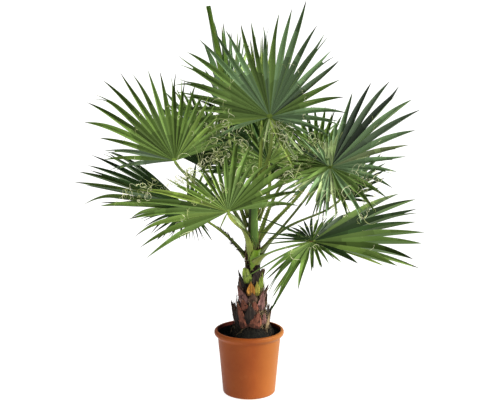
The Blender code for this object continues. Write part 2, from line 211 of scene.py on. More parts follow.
class Brew:
    """A material in the making, with short calls for the nodes that the finishes share."""

    def __init__(self, name: str) -> None:
        """Starts a material with one Principled shader.

        Args:
            name: The material's name.
        """
        self.material = bpy.data.materials.new(name)
        self.material.use_nodes = True
        self.tree = self.material.node_tree
        self.shader = self.tree.nodes["Principled BSDF"]

    def set(self, **values: object) -> None:
        """Sets the shader's own sockets, with each space in a socket's name written as _."""
        for name, value in values.items():
            self.shader.inputs[name.replace("_", " ")].default_value = value

    def link(self, out: Socket, socket: str) -> None:
        """Feeds one of the shader's sockets."""
        self.tree.links.new(out, self.shader.inputs[socket])

    def place(self, stretch: Colour = (1, 1, 1)) -> Socket:
        """The place on the object, in metres, with each axis stretched.

        Args:
            stretch: How much finer the place is read along each axis.

        Returns:
            Its socket.
        """
        spot = self.tree.nodes.new("ShaderNodeTexCoord")
        maps = self.tree.nodes.new("ShaderNodeMapping")
        maps.inputs["Scale"].default_value = stretch
        self.tree.links.new(spot.outputs["Object"], maps.inputs["Vector"])
        return maps.outputs["Vector"]

    def grain(self, at: Socket, scale: float, detail: float = 4, rough: float = 0.6) -> Socket:
        """Noise from 0 to 1 at a place.

        Args:
            at: The place that it is read at.
            scale: How many lumps there are to a metre.
            detail: How many finer layers it has.
            rough: How strong these are.

        Returns:
            The socket that gives it.
        """
        made = self.tree.nodes.new("ShaderNodeTexNoise")
        made.inputs["Scale"].default_value = scale
        made.inputs["Detail"].default_value = detail
        made.inputs["Roughness"].default_value = rough
        self.tree.links.new(at, made.inputs["Vector"])
        return made.outputs["Fac"]

    def ramp(self, value: Socket, *stops: tuple[float, Colour]) -> Socket:
        """Turns a value into a colour by stops.

        Args:
            value: The socket that is read.
            stops: Each a place from 0 to 1 and its colour.

        Returns:
            The colour's socket.
        """
        made = self.tree.nodes.new("ShaderNodeValToRGB")
        points = made.color_ramp.elements
        while len(points) < len(stops):
            points.new(0.5)
        for point, (place, colour) in zip(points, stops):
            point.position = place
            point.color = (*colour, 1)
        self.tree.links.new(value, made.inputs["Fac"])
        return made.outputs["Color"]

    def mix(self, share: Socket, first: Socket, second: Colour) -> Socket:
        """Blends a colour's socket with a plain colour by a share from 0 to 1.

        Args:
            share: The socket of the share.
            first: The socket of the first colour.
            second: The plain colour.

        Returns:
            The blend's socket.
        """
        made = self.tree.nodes.new("ShaderNodeMix")
        made.data_type = "RGBA"
        self.tree.links.new(share, made.inputs["Factor"])
        self.tree.links.new(first, made.inputs[6])
        made.inputs[7].default_value = (*second, 1)
        return made.outputs[2]

    def span(self, value: Socket, low: float, high: float, start: float, end: float) -> Socket:
        """Maps a value's range low to high on to start to end, held at both ends.

        Args:
            value: The socket that is read.
            low: The low end of its range.
            high: The high end.
            start: What the low end gives.
            end: What the high end gives.

        Returns:
            The socket that gives it.
        """
        made = self.tree.nodes.new("ShaderNodeMapRange")
        for name, number in (("From Min", low), ("From Max", high), ("To Min", start), ("To Max", end)):
            made.inputs[name].default_value = number
        self.tree.links.new(value, made.inputs["Value"])
        return made.outputs["Result"]

    def along(self, axis: str) -> Socket:
        """The place on the object along one axis, in metres.

        Args:
            axis: X, Y or Z.

        Returns:
            Its socket.
        """
        parts = self.tree.nodes.new("ShaderNodeSeparateXYZ")
        self.tree.links.new(self.place(), parts.inputs["Vector"])
        return parts.outputs[axis]

    def bump(self, value: Socket, depth: float, strength: float = 1.0) -> None:
        """Raises the surface by a value, depth metres from 0 to 1.

        Args:
            value: The height's socket.
            depth: How high the surface rises, in metres.
            strength: How much of that shows.
        """
        made = self.tree.nodes.new("ShaderNodeBump")
        made.inputs["Strength"].default_value = strength
        made.inputs["Distance"].default_value = depth
        self.tree.links.new(value, made.inputs["Height"])
        self.link(made.outputs["Normal"], "Normal")


@dataclass(frozen=True)
class PotFinish:
    """Terracotta-coloured moulded plastic: satin, slightly mottled, with painted light that makes it lighter and
    more orange towards its right, where the lamp is. Its mottles, smudges, wear and grit are in lumps to a metre."""

    colour: Colour = shade(152, 77, 30)
    deep: Colour = shade(136, 64, 24)
    dust: Colour = shade(160, 92, 46)
    # painted light: the colour that the pot turns to on its lit right side
    painted_light_colour: Colour = shade(165, 103, 45)
    painted_light_side: tuple[float, float] = (0.02, 0.15)  # how far to the right the painted light starts and is full
    roughness: tuple[float, float] = (0.36, 0.52)
    mottles: float = 7
    smudges: float = 34
    wear: float = 90
    grit: float = 420
    relief: float = 0.00025

    def make(self) -> Material:
        """Mixes the finish.

        Returns:
            The material.
        """
        brew = Brew("pot_plastic")
        at = brew.place()
        tone = brew.ramp(brew.grain(at, self.mottles, 3), (0.30, self.deep), (0.72, self.colour))
        # painted light, growing towards the pot's right
        tone = brew.mix(brew.span(brew.along("X"), *self.painted_light_side, 0.0, 1.0), tone, self.painted_light_colour)
        smudge = brew.span(brew.grain(at, self.smudges, 6, 0.7), 0.56, 0.80, 0.0, 0.35)
        brew.link(brew.mix(smudge, tone, self.dust), "Base Color")
        brew.link(brew.span(brew.grain(at, self.wear, 5), 0.3, 0.7, *self.roughness), "Roughness")
        brew.bump(brew.grain(at, self.grit, 3), self.relief, 0.35)
        brew.set(Specular_IOR_Level=0.12)
        return brew.material


@dataclass(frozen=True)
class SoilFinish:
    """Damp peat, near black, with a slight sheen on its wetter crumbs."""

    name: str
    colour: Colour
    light: Colour
    roughness: float = 0.78
    patches: float = 160
    grit: float = 520
    relief: float = 0.0015

    def make(self) -> Material:
        """Mixes the finish.

        Returns:
            The material.
        """
        brew = Brew(self.name)
        at = brew.place()
        patch = brew.grain(at, self.patches, 5)
        brew.link(brew.ramp(patch, (0.35, self.colour), (0.75, self.light)), "Base Color")
        brew.bump(brew.grain(at, self.grit, 6, 0.7), self.relief, 0.8)
        brew.set(Roughness=self.roughness, Specular_IOR_Level=0.04)
        return brew.material


@dataclass(frozen=True)
class BarkFinish:
    """A leaf base or the trunk's core: streaked along the trunk, from a dark tone to a light one."""

    name: str
    dark: Colour
    colour: Colour
    light: Colour
    roughness: float = 0.8
    streaks: float = 150
    softness: float = 0.0  # from 0 to 1, how much less its streaks and stains stand out
    stains: float = 42
    stretch: Colour = (1, 1, 0.16)
    relief: tuple[float, float] = (0.0016, 0.0008)  # hard and soft

    def make(self) -> Material:
        """Mixes the finish.

        Returns:
            The material.
        """
        brew = Brew(self.name)
        streak = brew.grain(brew.place(self.stretch), self.streaks, 5, 0.65)
        tone = brew.ramp(streak, (0.30 - 0.14 * self.softness, self.dark), (0.50, self.colour),
                         (0.74 + 0.12 * self.softness, self.light))
        stain = brew.span(brew.grain(brew.place(), self.stains, 4), 0.54, 0.72, 0.0, 0.5 - 0.2 * self.softness)
        brew.link(brew.mix(stain, tone, self.dark), "Base Color")
        brew.bump(streak, between(self.relief, self.softness), 0.9)
        brew.set(Roughness=self.roughness, Specular_IOR_Level=0.28)
        return brew.material


@dataclass(frozen=True)
class StalkFinish:
    """A leaf stalk's skin: smooth and waxy, finely streaked along its length."""

    name: str
    colour: Colour
    light: Colour
    roughness: float = 0.40
    streaks: float = 120
    streak_tone: float = 0.62
    patches: float = 16
    stretch: Colour = (1, 1, 0.3)
    relief: float = 0.0004

    def make(self) -> Material:
        """Mixes the finish.

        Returns:
            The material.
        """
        brew = Brew(self.name)
        streak = brew.grain(brew.place(self.stretch), self.streaks, 4)
        tone = brew.ramp(brew.grain(brew.place(), self.patches, 3), (0.35, self.colour), (0.70, self.light))
        darker = scaled(self.colour, self.streak_tone)
        brew.link(brew.mix(brew.span(streak, 0.5, 0.8, 0.0, 0.5), tone, darker), "Base Color")
        brew.bump(streak, self.relief, 0.5)
        brew.set(Roughness=self.roughness, Specular_IOR_Level=0.22)
        return brew.material


@dataclass(frozen=True)
class PlainFinish:
    """One even colour, for leaflets, threads, fibres, thorns, the floor, and the pot's inside as painted shade. The
    fans' look comes from how these are dealt out."""

    name: str
    colour: Colour
    roughness: float = 0.45
    specular: float = 0.10

    def make(self) -> Material:
        """Mixes the finish, or finds it where it is made already.

        Returns:
            The material.
        """
        made = bpy.data.materials.get(self.name)
        if made:
            return made
        brew = Brew(self.name)
        brew.set(Base_Color=(*self.colour, 1), Roughness=self.roughness, Specular_IOR_Level=self.specular)
        return brew.material


# four copies of each green, from painted shade to painted highlight; the fans deal them out as painted light and
# shade, and partly at random
LEAF_PAINTED_LIGHT_LEVELS = (0.44, 0.76, 1.04, 1.40)
LEAF_ROUGHNESS = 0.55


class LeafTone(Enum):
    """The greens that leaflets come in, as display colours."""

    DEEP = (54, 78, 40)
    OLIVE = (90, 114, 52)
    FRESH = (106, 132, 68)
    SUNNY = (124, 149, 74)
    LIME = (154, 176, 88)
    BLUISH = (120, 148, 104)
    SLATE = (92, 110, 84)
    DUSK = (64, 76, 62)
    PALE = (178, 196, 138)

    def finishes(self) -> list[Material]:
        """The tone's four copies, from painted shade to painted highlight.

        Returns:
            The materials.
        """
        base = shade(*self.value)
        return [PlainFinish(f"leaf_{self.name.lower()}_{k}", scaled(base, factor), LEAF_ROUGHNESS).make()
                for k, factor in enumerate(LEAF_PAINTED_LIGHT_LEVELS)]


class LeafPart(Enum):
    """The parts of a leaflet whose colour isn't its own green, as display colours."""

    RIB = (122, 146, 76)
    HUB = (112, 134, 58)
    KNOT = (88, 60, 44)
    TIP = (66, 68, 50)
    DRY = (146, 128, 84)
    UNDER = (88, 114, 58)
    UNDER_DEEP = (66, 88, 42)

    def finish(self) -> Material:
        """The part's finish."""
        return PlainFinish(f"leaf_{self.name.lower()}", shade(*self.value), 0.5).make()


class BootTone(Enum):
    """The colours of the cut leaf bases, each as its dark, middle and light display colours."""

    BROWN = ((34, 24, 19), (84, 60, 48), (142, 114, 94))
    RUSSET = ((42, 23, 18), (112, 64, 48), (164, 108, 84))
    PLUM = ((52, 34, 32), (122, 84, 78), (170, 134, 126))
    OCHRE = ((74, 44, 16), (178, 120, 46), (212, 166, 88))
    GREEN = ((52, 62, 22), (120, 140, 46), (184, 194, 120))
    DARK = ((13, 11, 10), (42, 33, 28), (86, 72, 60))
    TAN = ((76, 60, 42), (150, 126, 92), (200, 178, 142))
    LEAF = ((104, 92, 34), (152, 144, 56), (192, 186, 92))

    def finishes(self) -> list[Material]:
        """The leaf base's finishes: its painted-shade copy, its own, and its painted-highlight copy for a lit
        margin.

        Returns:
            The materials.
        """
        tones = [shade(*tone) for tone in self.value]
        name = f"boot_{self.name.lower()}"
        # copies of the finish at 0.40 and 1.6, for painted shade and painted highlight
        made = ((f"{name}_shaded", 0.40), (name, 1.0), (f"{name}_bright", 1.6))
        return [BarkFinish(own, *(scaled(tone, factor) for tone in tones), streaks=110, softness=1.0).make()
                for own, factor in made]


@dataclass(frozen=True)
class LeafBase:
    """One cut leaf base: the direction of its foot in degrees and that foot's height, its length and width over
    the plain one's, how many degrees it leans off the trunk and to the left, and how far its foot stands out."""

    turn: float
    height: float
    length: float
    width: float
    lean: float
    tone: BootTone
    skew: float = 0.0
    stand: float = -0.007
    torn: bool = True


@dataclass(frozen=True)
class Frond:
    """One fan frond, by the same rule as its solid. Its hub is where the stalk meets the blade. Swing, lean and
    turn place the blade: the way its middle leaflet points as the front shows it, counted from +X up to +Z, how
    far that tips back, and how far the face is turned about it from facing the front. The outline gives the
    leaflets' lengths round the hub, each with its angle from the middle one. Angles are in degrees."""

    name: str
    hub: Colour
    swing: float
    lean: float
    turn: float
    leaflets: int
    outline: Pairs
    foot: tuple
    tones: tuple[tuple, ...]  # the tones that leaflets come in from this angle on
    foot_size: tuple[float, float] = (0.032, 0.034)
    arch: tuple[float, float] = (0.14, 0.14)
    stout: float = 1.0
    cup: float = 8
    droop: float = 0.04
    side_droop: float = 0.10
    seed: int = 1
    threads: float = 1.0  # how many threads there are for each split
    curls: tuple[tuple[float, float, float, float, int], ...] = ()  # angles and shares out, from and to; how many
    strays: tuple[tuple[Colour, LeafTone, float], ...] = ()  # each stray leaflet's tip, tone and width
    stalk: LeafTone = LeafTone.SUNNY
    accent: LeafTone = LeafTone.FRESH  # the tone of the odd leaflet
    accent_share: float = 0.06
    cuts: Pairs = ()  # where leaflets are split further than the solid's are: the angle and the share left joined
    blunt: float | None = None  # the angle of a leaflet that ends cut off
    knot: bool = False  # whether the hub is a dark knot
    ragged: bool = False  # whether black fibre clothes the stalk's margin

    def axes(self) -> tuple[Array, Array, Array]:
        """The blade's own directions: along its middle leaflet, to its left, and out of its upper face.

        Returns:
            The three directions.
        """
        swing, lean, turn = (math.radians(a) for a in (self.swing, self.lean, self.turn))
        along = np.array((math.cos(swing) * math.cos(lean), math.sin(lean), math.sin(swing) * math.cos(lean)))
        flat = unit(-BACK + along * BACK.dot(along))
        face = flat * math.cos(turn) + np.cross(along, flat) * math.sin(turn)
        return along, np.cross(face, along), face

    def heading(self, angle: Array) -> Array:
        """The way that leaflets at these angles leave the hub, lifted off the blade's plane by its cup.

        Args:
            angle: Angles from the middle leaflet, in radians.

        Returns:
            A direction for each.
        """
        along, left, face = self.axes()
        angle = np.asarray(angle, float)[..., None]
        cup = math.radians(self.cup)
        return (along * np.cos(angle) + left * np.sin(angle)) * math.cos(cup) + face * math.sin(cup)

    def length(self, angle: Array) -> Array:
        """How long leaflets at these angles are."""
        places, lengths = zip(*self.outline)
        return np.interp(np.degrees(angle), places, lengths)

    def point(self, angle: Array, radius: Array, lift: Array) -> Array:
        """Points of the blade, sagging more the further out and to the side they are.

        Args:
            angle: Each point's angle from the middle leaflet, in radians.
            radius: How far each is from the hub.
            lift: How far each stands off the blade's surface, towards its upper face.

        Returns:
            The points.
        """
        heading = self.heading(angle)
        reach = self.length(angle)
        span = np.where(angle > 0, self.outline[-1][0], -self.outline[0][0])
        droop = self.droop + self.side_droop * np.minimum(np.abs(np.degrees(angle)) / span, 1) ** 2
        sag = droop * reach * (np.maximum(radius, 0) / reach) ** 2.5 * (1 - 0.7 * heading[..., 2] ** 2)
        spots = np.array(self.hub) + heading * radius[..., None] + self.axes()[2] * lift[..., None]
        return spots - UP * sag[..., None]


T = LeafTone
FRONDS = (
    Frond("top", (0.088, -0.05, 1.223), 97, 12, -25, 33,
          ((-166.4, 0.13), (-155, 0.17), (-140, 0.19), (-120, 0.20), (-110, 0.26), (-100, 0.37), (-80, 0.40),
           (-58, 0.45), (-40, 0.48), (-33, 0.56), (-26, 0.49), (-16, 0.45), (-5, 0.41), (12, 0.43),
           (35, 0.47), (52, 0.51), (62, 0.43), (78, 0.43), (90, 0.28), (100, 0.26)),
          (None, 60, 80),
          ((-180, T.SUNNY, T.FRESH, T.BLUISH), (-118, T.BLUISH, T.FRESH), (-66, T.BLUISH, T.BLUISH, T.SLATE),
           (-30, T.BLUISH, T.FRESH), (-12, T.FRESH, T.FRESH, T.BLUISH), (25, T.FRESH, T.BLUISH, T.SUNNY),
           (66, T.FRESH, T.SUNNY), (82, T.BLUISH, T.SUNNY)),
          arch=(0.10, 0.16), cup=12, seed=1, threads=1.2, cuts=((-166, 0.16), (-122, 0.22), (-106, 0.46)),
          curls=((-166, -110, 0.2, 0.7, 24), (60, 100, 0.35, 0.9, 14)),
          strays=(((0.149, -0.120, 1.094), T.LIME, 0.020), ((0.186, -0.120, 1.022), T.LIME, 0.020),
                  ((0.206, -0.120, 1.040), T.PALE, 0.017), ((0.236, -0.120, 1.066), T.PALE, 0.015),
                  ((0.260, -0.120, 1.086), T.FRESH, 0.014), ((0.288, -0.120, 1.110), T.FRESH, 0.013),
                  ((0.033, -0.100, 1.100), T.FRESH, 0.012), ((0.058, -0.140, 1.089), T.PALE, 0.008))),
    Frond("front", (-0.087, -0.20, 0.848), 110, 36, 4, 22,
          ((-104, 0.30), (-75, 0.35), (-65, 0.44), (-54, 0.27), (-34, 0.30), (-25, 0.40), (-12, 0.28),
           (10, 0.26), (40, 0.29), (50, 0.42), (60, 0.46), (72, 0.40), (104, 0.38)),
          (0.645, -115, 80),
          ((-180, T.OLIVE, T.OLIVE, T.FRESH), (-40, T.OLIVE, T.FRESH), (-12, T.OLIVE, T.SUNNY, T.DEEP),
           (10, T.FRESH, T.SUNNY), (30, T.LIME, T.PALE, T.SUNNY), (62, T.OLIVE, T.SUNNY), (84, T.OLIVE, T.FRESH)),
          arch=(0.13, 0.06), stout=1.25, cup=6, side_droop=0.06, seed=2, threads=2.0, stalk=T.LIME,
          cuts=((-16, 0.46), (-8, 0.34), (6, 0.26), (60, 0.30), (68, 0.46)),
          curls=((-30, 12, 0.75, 1.0, 40), (12, 62, 0.75, 1.0, 70), (-104, -60, 0.7, 1.0, 12)),
          strays=(((-0.125, -0.170, 0.761), T.LIME, 0.006), ((-0.013, -0.120, 0.755), T.PALE, 0.012))),
    Frond("left", (-0.313, -0.04, 1.035), 115, 10, 12, 22,
          ((-95, 0.25), (-48, 0.34), (-23, 0.40), (0, 0.43), (15, 0.47), (34, 0.49), (42, 0.36), (58, 0.32),
           (72, 0.29)),
          (0.715, 212, 60), ((-180, T.FRESH, T.SUNNY), (-45, T.FRESH, T.OLIVE), (22, T.OLIVE, T.OLIVE, T.SLATE)),
          foot_size=(0.026, 0.028), arch=(0.14, 0.06), stalk=T.OLIVE, cup=12, side_droop=0.05, seed=3,
          threads=0.6, curls=((-95, -60, 0.5, 1.0, 12),)),
    Frond("right", (0.344, -0.02, 1.006), 45, 10, -50, 30,
          ((-144, 0.26), (-125, 0.25), (-92, 0.37), (-60, 0.36), (-34, 0.40), (-27, 0.49), (0, 0.475),
           (16, 0.45), (28, 0.37), (40, 0.20), (100, 0.20), (130, 0.22), (148.8, 0.26)),
          (0.640, -5, 46),
          ((-180, T.BLUISH, T.PALE), (-112, T.BLUISH, T.FRESH), (-60, T.BLUISH, T.SUNNY, T.PALE),
           (-24, T.BLUISH, T.SLATE), (-8, T.SLATE, T.DUSK, T.BLUISH), (38, T.PALE, T.BLUISH), (80, T.SLATE, T.FRESH),
           (112, T.OLIVE, T.FRESH)),
          seed=4, threads=1.4, accent=T.PALE, knot=True,
          cuts=((-144, 0.46), (34, 0.46), (42, 0.36), (148, 0.38)),
          curls=((60, 148, 0.4, 1.0, 50), (-144, -60, 0.4, 1.0, 60)),
          strays=(((0.093, -0.050, 0.835), T.PALE, 0.012), ((0.152, -0.060, 0.850), T.BLUISH, 0.012),
                  ((0.215, -0.080, 0.849), T.PALE, 0.012), ((0.258, -0.080, 0.772), T.OLIVE, 0.008),
                  ((0.197, -0.100, 0.922), T.PALE, 0.018), ((0.310, -0.060, 0.759), T.DEEP, 0.007),
                  ((0.110, -0.060, 0.889), T.BLUISH, 0.014), ((0.282, -0.100, 0.823), T.FRESH, 0.011),
                  ((0.427, -0.080, 0.815), T.LIME, 0.010), ((0.477, -0.080, 0.824), T.SUNNY, 0.010),
                  ((0.371, -0.080, 1.158), T.PALE, 0.020), ((0.321, -0.080, 1.130), T.PALE, 0.022),
                  ((0.283, -0.080, 1.120), T.BLUISH, 0.018), ((0.346, -0.090, 1.140), T.PALE, 0.022),
                  ((0.216, -0.060, 1.140), T.BLUISH, 0.014), ((0.246, -0.100, 0.900), T.BLUISH, 0.026),
                  ((0.279, -0.110, 0.872), T.PALE, 0.024), ((0.305, -0.110, 0.860), T.BLUISH, 0.026),
                  ((0.334, -0.110, 0.866), T.BLUISH, 0.026), ((0.225, -0.100, 0.955), T.FRESH, 0.018),
                  ((0.170, -0.090, 0.925), T.FRESH, 0.018), ((0.140, -0.080, 0.965), T.OLIVE, 0.015),
                  ((0.364, -0.110, 0.850), T.FRESH, 0.022), ((0.395, -0.100, 0.870), T.BLUISH, 0.022),
                  ((0.500, -0.080, 0.975), T.SUNNY, 0.016), ((0.520, -0.080, 1.010), T.LIME, 0.013),
                  ((0.181, -0.090, 0.890), T.BLUISH, 0.019), ((0.235, -0.100, 0.850), T.FRESH, 0.018),
                  ((0.281, -0.110, 0.821), T.BLUISH, 0.018), ((0.323, -0.110, 0.804), T.OLIVE, 0.014),
                  ((0.370, -0.110, 0.813), T.BLUISH, 0.016), ((0.130, -0.090, 0.937), T.FRESH, 0.015))),
    Frond("right_low", (0.263, -0.16, 0.714), 8, 1, -70, 27,
          ((-144, 0.28), (-130, 0.32), (-120, 0.42), (-112, 0.44), (-103, 0.24), (-83, 0.19), (-62, 0.20),
           (-50, 0.32), (-39, 0.49), (0, 0.46), (24, 0.50), (33, 0.50), (42, 0.30), (62, 0.19),
           (85, 0.20), (105, 0.17), (144, 0.17)),
          (0.600, -60, 40),
          ((-180, T.SUNNY, T.OLIVE), (-118, T.OLIVE), (-106, T.SUNNY, T.FRESH), (-56, T.SUNNY, T.DEEP),
           (-34, T.DEEP, T.OLIVE), (22, T.OLIVE, T.DEEP), (40, T.OLIVE, T.SLATE)),
          foot_size=(0.048, 0.044), arch=(0.10, 0.10), cup=6, side_droop=0.10, seed=5, stalk=T.LIME,
          knot=True, cuts=((-144, 0.34), (-112, 0.34), (-102, 0.22), (-60, 0.24), (-48, 0.46), (50, 0.46),
                           (70, 0.18), (144, 0.18)),
          strays=(((0.038, -0.100, 0.808), T.DEEP, 0.008), ((0.034, -0.080, 0.737), T.DEEP, 0.008),
                  ((0.072, -0.100, 0.713), T.DEEP, 0.008), ((0.067, -0.120, 0.692), T.OLIVE, 0.009),
                  ((0.261, -0.180, 0.827), T.DEEP, 0.007), ((0.324, -0.160, 0.814), T.FRESH, 0.009),
                  ((-0.023, -0.200, 0.563), T.FRESH, 0.008), ((-0.025, -0.190, 0.633), T.FRESH, 0.006),
                  ((0.713, -0.160, 0.600), T.SUNNY, 0.020), ((0.680, -0.180, 0.618), T.OLIVE, 0.024),
                  ((0.560, -0.190, 0.618), T.LIME, 0.018), ((0.088, -0.200, 0.420), T.DEEP, 0.016),
                  ((0.098, -0.200, 0.500), T.LIME, 0.010),
                  ((0.382, -0.200, 0.636), T.SUNNY, 0.014), ((0.304, -0.200, 0.610), T.OLIVE, 0.013),
                  ((0.267, -0.190, 0.603), T.DEEP, 0.012), ((0.071, -0.200, 0.559), T.OLIVE, 0.012),
                  ((0.096, -0.200, 0.481), T.SUNNY, 0.012))),
    Frond("left_low", (-0.263, 0.10, 0.796), 155, 10, 60, 21,
          ((-20, 0.50), (20, 0.52), (33, 0.49), (45, 0.26), (78, 0.26), (106, 0.18), (138, 0.18)),
          (0.610, 165, 55), ((-180, T.DEEP), (10, T.OLIVE, T.DEEP), (40, T.DEEP)),
          foot_size=(0.034, 0.034), arch=(0.12, 0.12), cup=6, side_droop=0.15, seed=6, ragged=True,
          threads=0.4, cuts=((42, 0.46), (56, 0.30), (138, 0.24)),
          strays=(((-0.402, 0.060, 0.671), T.DEEP, 0.016), ((-0.443, 0.100, 0.765), T.DEEP, 0.016),
                  ((-0.351, 0.080, 0.693), T.DEEP, 0.010), ((-0.275, 0.060, 0.671), T.SLATE, 0.012),
                  ((-0.160, 0.060, 0.666), T.DEEP, 0.010), ((-0.175, 0.080, 0.702), T.OLIVE, 0.010),
                  ((-0.700, 0.000, 0.925), T.SLATE, 0.016), ((-0.680, 0.020, 0.985), T.DEEP, 0.018),
                  ((-0.640, 0.000, 0.850), T.DEEP, 0.012), ((-0.560, 0.020, 0.835), T.OLIVE, 0.010),
                  ((-0.230, 0.080, 1.008), T.DEEP, 0.018), ((-0.187, 0.080, 0.990), T.OLIVE, 0.015),
                  ((-0.152, 0.080, 0.955), T.DEEP, 0.018), ((-0.126, 0.060, 0.919), T.OLIVE, 0.015),
                  ((-0.270, 0.080, 0.985), T.OLIVE, 0.013))),
    Frond("top_rear", (-0.093, 0.25, 1.180), 95, 5, 50, 12,
          ((-60, 0.30), (-20, 0.38), (0, 0.41), (12, 0.43), (18, 0.58), (28, 0.34), (48, 0.26)),
          (0.780, 138, 75), ((-180, T.BLUISH, T.PALE), (14, T.SUNNY), (24, T.BLUISH)), arch=(0.10, 0.14),
          seed=7, blunt=18, threads=0.5,
          strays=(((-0.153, 0.240, 1.609), T.BLUISH, 0.015), ((-0.115, 0.270, 1.604), T.BLUISH, 0.016),
                  ((-0.079, 0.240, 1.566), T.BLUISH, 0.012), ((-0.049, 0.280, 1.564), T.PALE, 0.011),
                  ((-0.018, 0.240, 1.544), T.BLUISH, 0.009))),
    Frond("left_rear", (-0.154, 0.16, 1.053), 115, 10, -50, 15,
          ((-70, 0.20), (-10, 0.32), (15, 0.35), (40, 0.30), (75, 0.20)),
          (0.740, 165, 75), ((-180, T.PALE, T.FRESH), (0, T.SUNNY, T.BLUISH)), arch=(0.10, 0.12), seed=8,
          curls=((-70, 75, 0.5, 1.0, 16),)),
    Frond("right_rear", (0.300, 0.20, 1.000), 80, 20, 0, 21,
          ((-88, 0.22), (0, 0.26), (30, 0.26), (80, 0.20), (110, 0.22), (132, 0.28)),
          (0.680, 35, 52), ((-180, T.OLIVE), (20, T.OLIVE, T.DEEP), (80, T.FRESH)), arch=(0.12, 0.14), seed=9,
          threads=0.6, curls=((60, 132, 0.4, 1.0, 16),)),
    Frond("young", (0.052, 0.10, 1.184), 91, 3, 0, 7,
          ((-9, 0.36), (0, 0.38), (9, 0.36)),
          (0.800, 60, 80), ((-180, T.LIME, T.PALE),), arch=(0.10, 0.12), cup=2, seed=10, threads=0.0,
          strays=(((0.004, 0.12, 1.540), T.LIME, 0.013), ((0.026, 0.12, 1.553), T.SUNNY, 0.012),
                  ((0.056, 0.12, 1.557), T.LIME, 0.013), ((0.082, 0.12, 1.545), T.SUNNY, 0.012),
                  ((0.099, 0.12, 1.533), T.LIME, 0.012))),
    Frond("right_mid", (0.40, 0.18, 0.825), 40, 18, -60, 15,
          ((-70, 0.16), (0, 0.31), (90, 0.20)),
          (0.605, 32, 60), ((-180, T.DEEP), (0, T.OLIVE, T.DEEP)), arch=(0.20, 0.12), seed=11, threads=0.4,
          stalk=T.OLIVE),
    Frond("rear_right", (0.20, 0.32, 0.93), 30, 35, -60, 19,
          ((-100, 0.28), (0, 0.42), (50, 0.28), (100, 0.22)),
          (0.645, 65, 50), ((-180, T.DEEP), (0, T.OLIVE, T.DEEP)), arch=(0.12, 0.14), seed=12, threads=0.6),
    Frond("rear_left", (-0.21, 0.30, 0.95), 130, 35, 40, 17,
          ((-100, 0.28), (0, 0.42), (40, 0.34)),
          (0.690, 140, 66), ((-180, T.OLIVE, T.DEEP), (-20, T.DEEP)), foot_size=(0.028, 0.030),
          arch=(0.14, 0.10), seed=13, threads=0.6, stalk=T.OLIVE),
    Frond("rear_high", (0.02, 0.34, 1.08), 95, 32, 0, 25,
          ((-145, 0.22), (-50, 0.22), (0, 0.40), (60, 0.30), (125, 0.28), (145, 0.24)),
          (0.735, 82, 62), ((-180, T.DEEP, T.OLIVE), (-20, T.OLIVE), (40, T.DEEP)), arch=(0.12, 0.14), seed=14,
          curls=((-145, -60, 0.4, 1.0, 30), (60, 145, 0.4, 1.0, 30))),
    Frond("rear_low", (0.02, 0.34, 0.89), 85, 72, 0, 17,
          ((-90, 0.28), (0, 0.42), (90, 0.26)),
          (0.615, 95, 40), ((-180, T.DEEP), (0, T.OLIVE, T.DEEP)), arch=(0.12, 0.12), seed=15, threads=0.6),
    Frond("middle", (0.085, 0.15, 1.00), 100, 25, 10, 19,
          ((-120, 0.14), (-40, 0.18), (0, 0.24), (60, 0.24), (120, 0.20)),
          (0.770, 35, 66), ((-180, T.FRESH, T.SUNNY), (-20, T.OLIVE, T.DEEP, T.FRESH), (50, T.FRESH, T.OLIVE)),
          arch=(0.10, 0.12), seed=16, threads=1.5, curls=((-120, 120, 0.3, 1.0, 44),)),
)


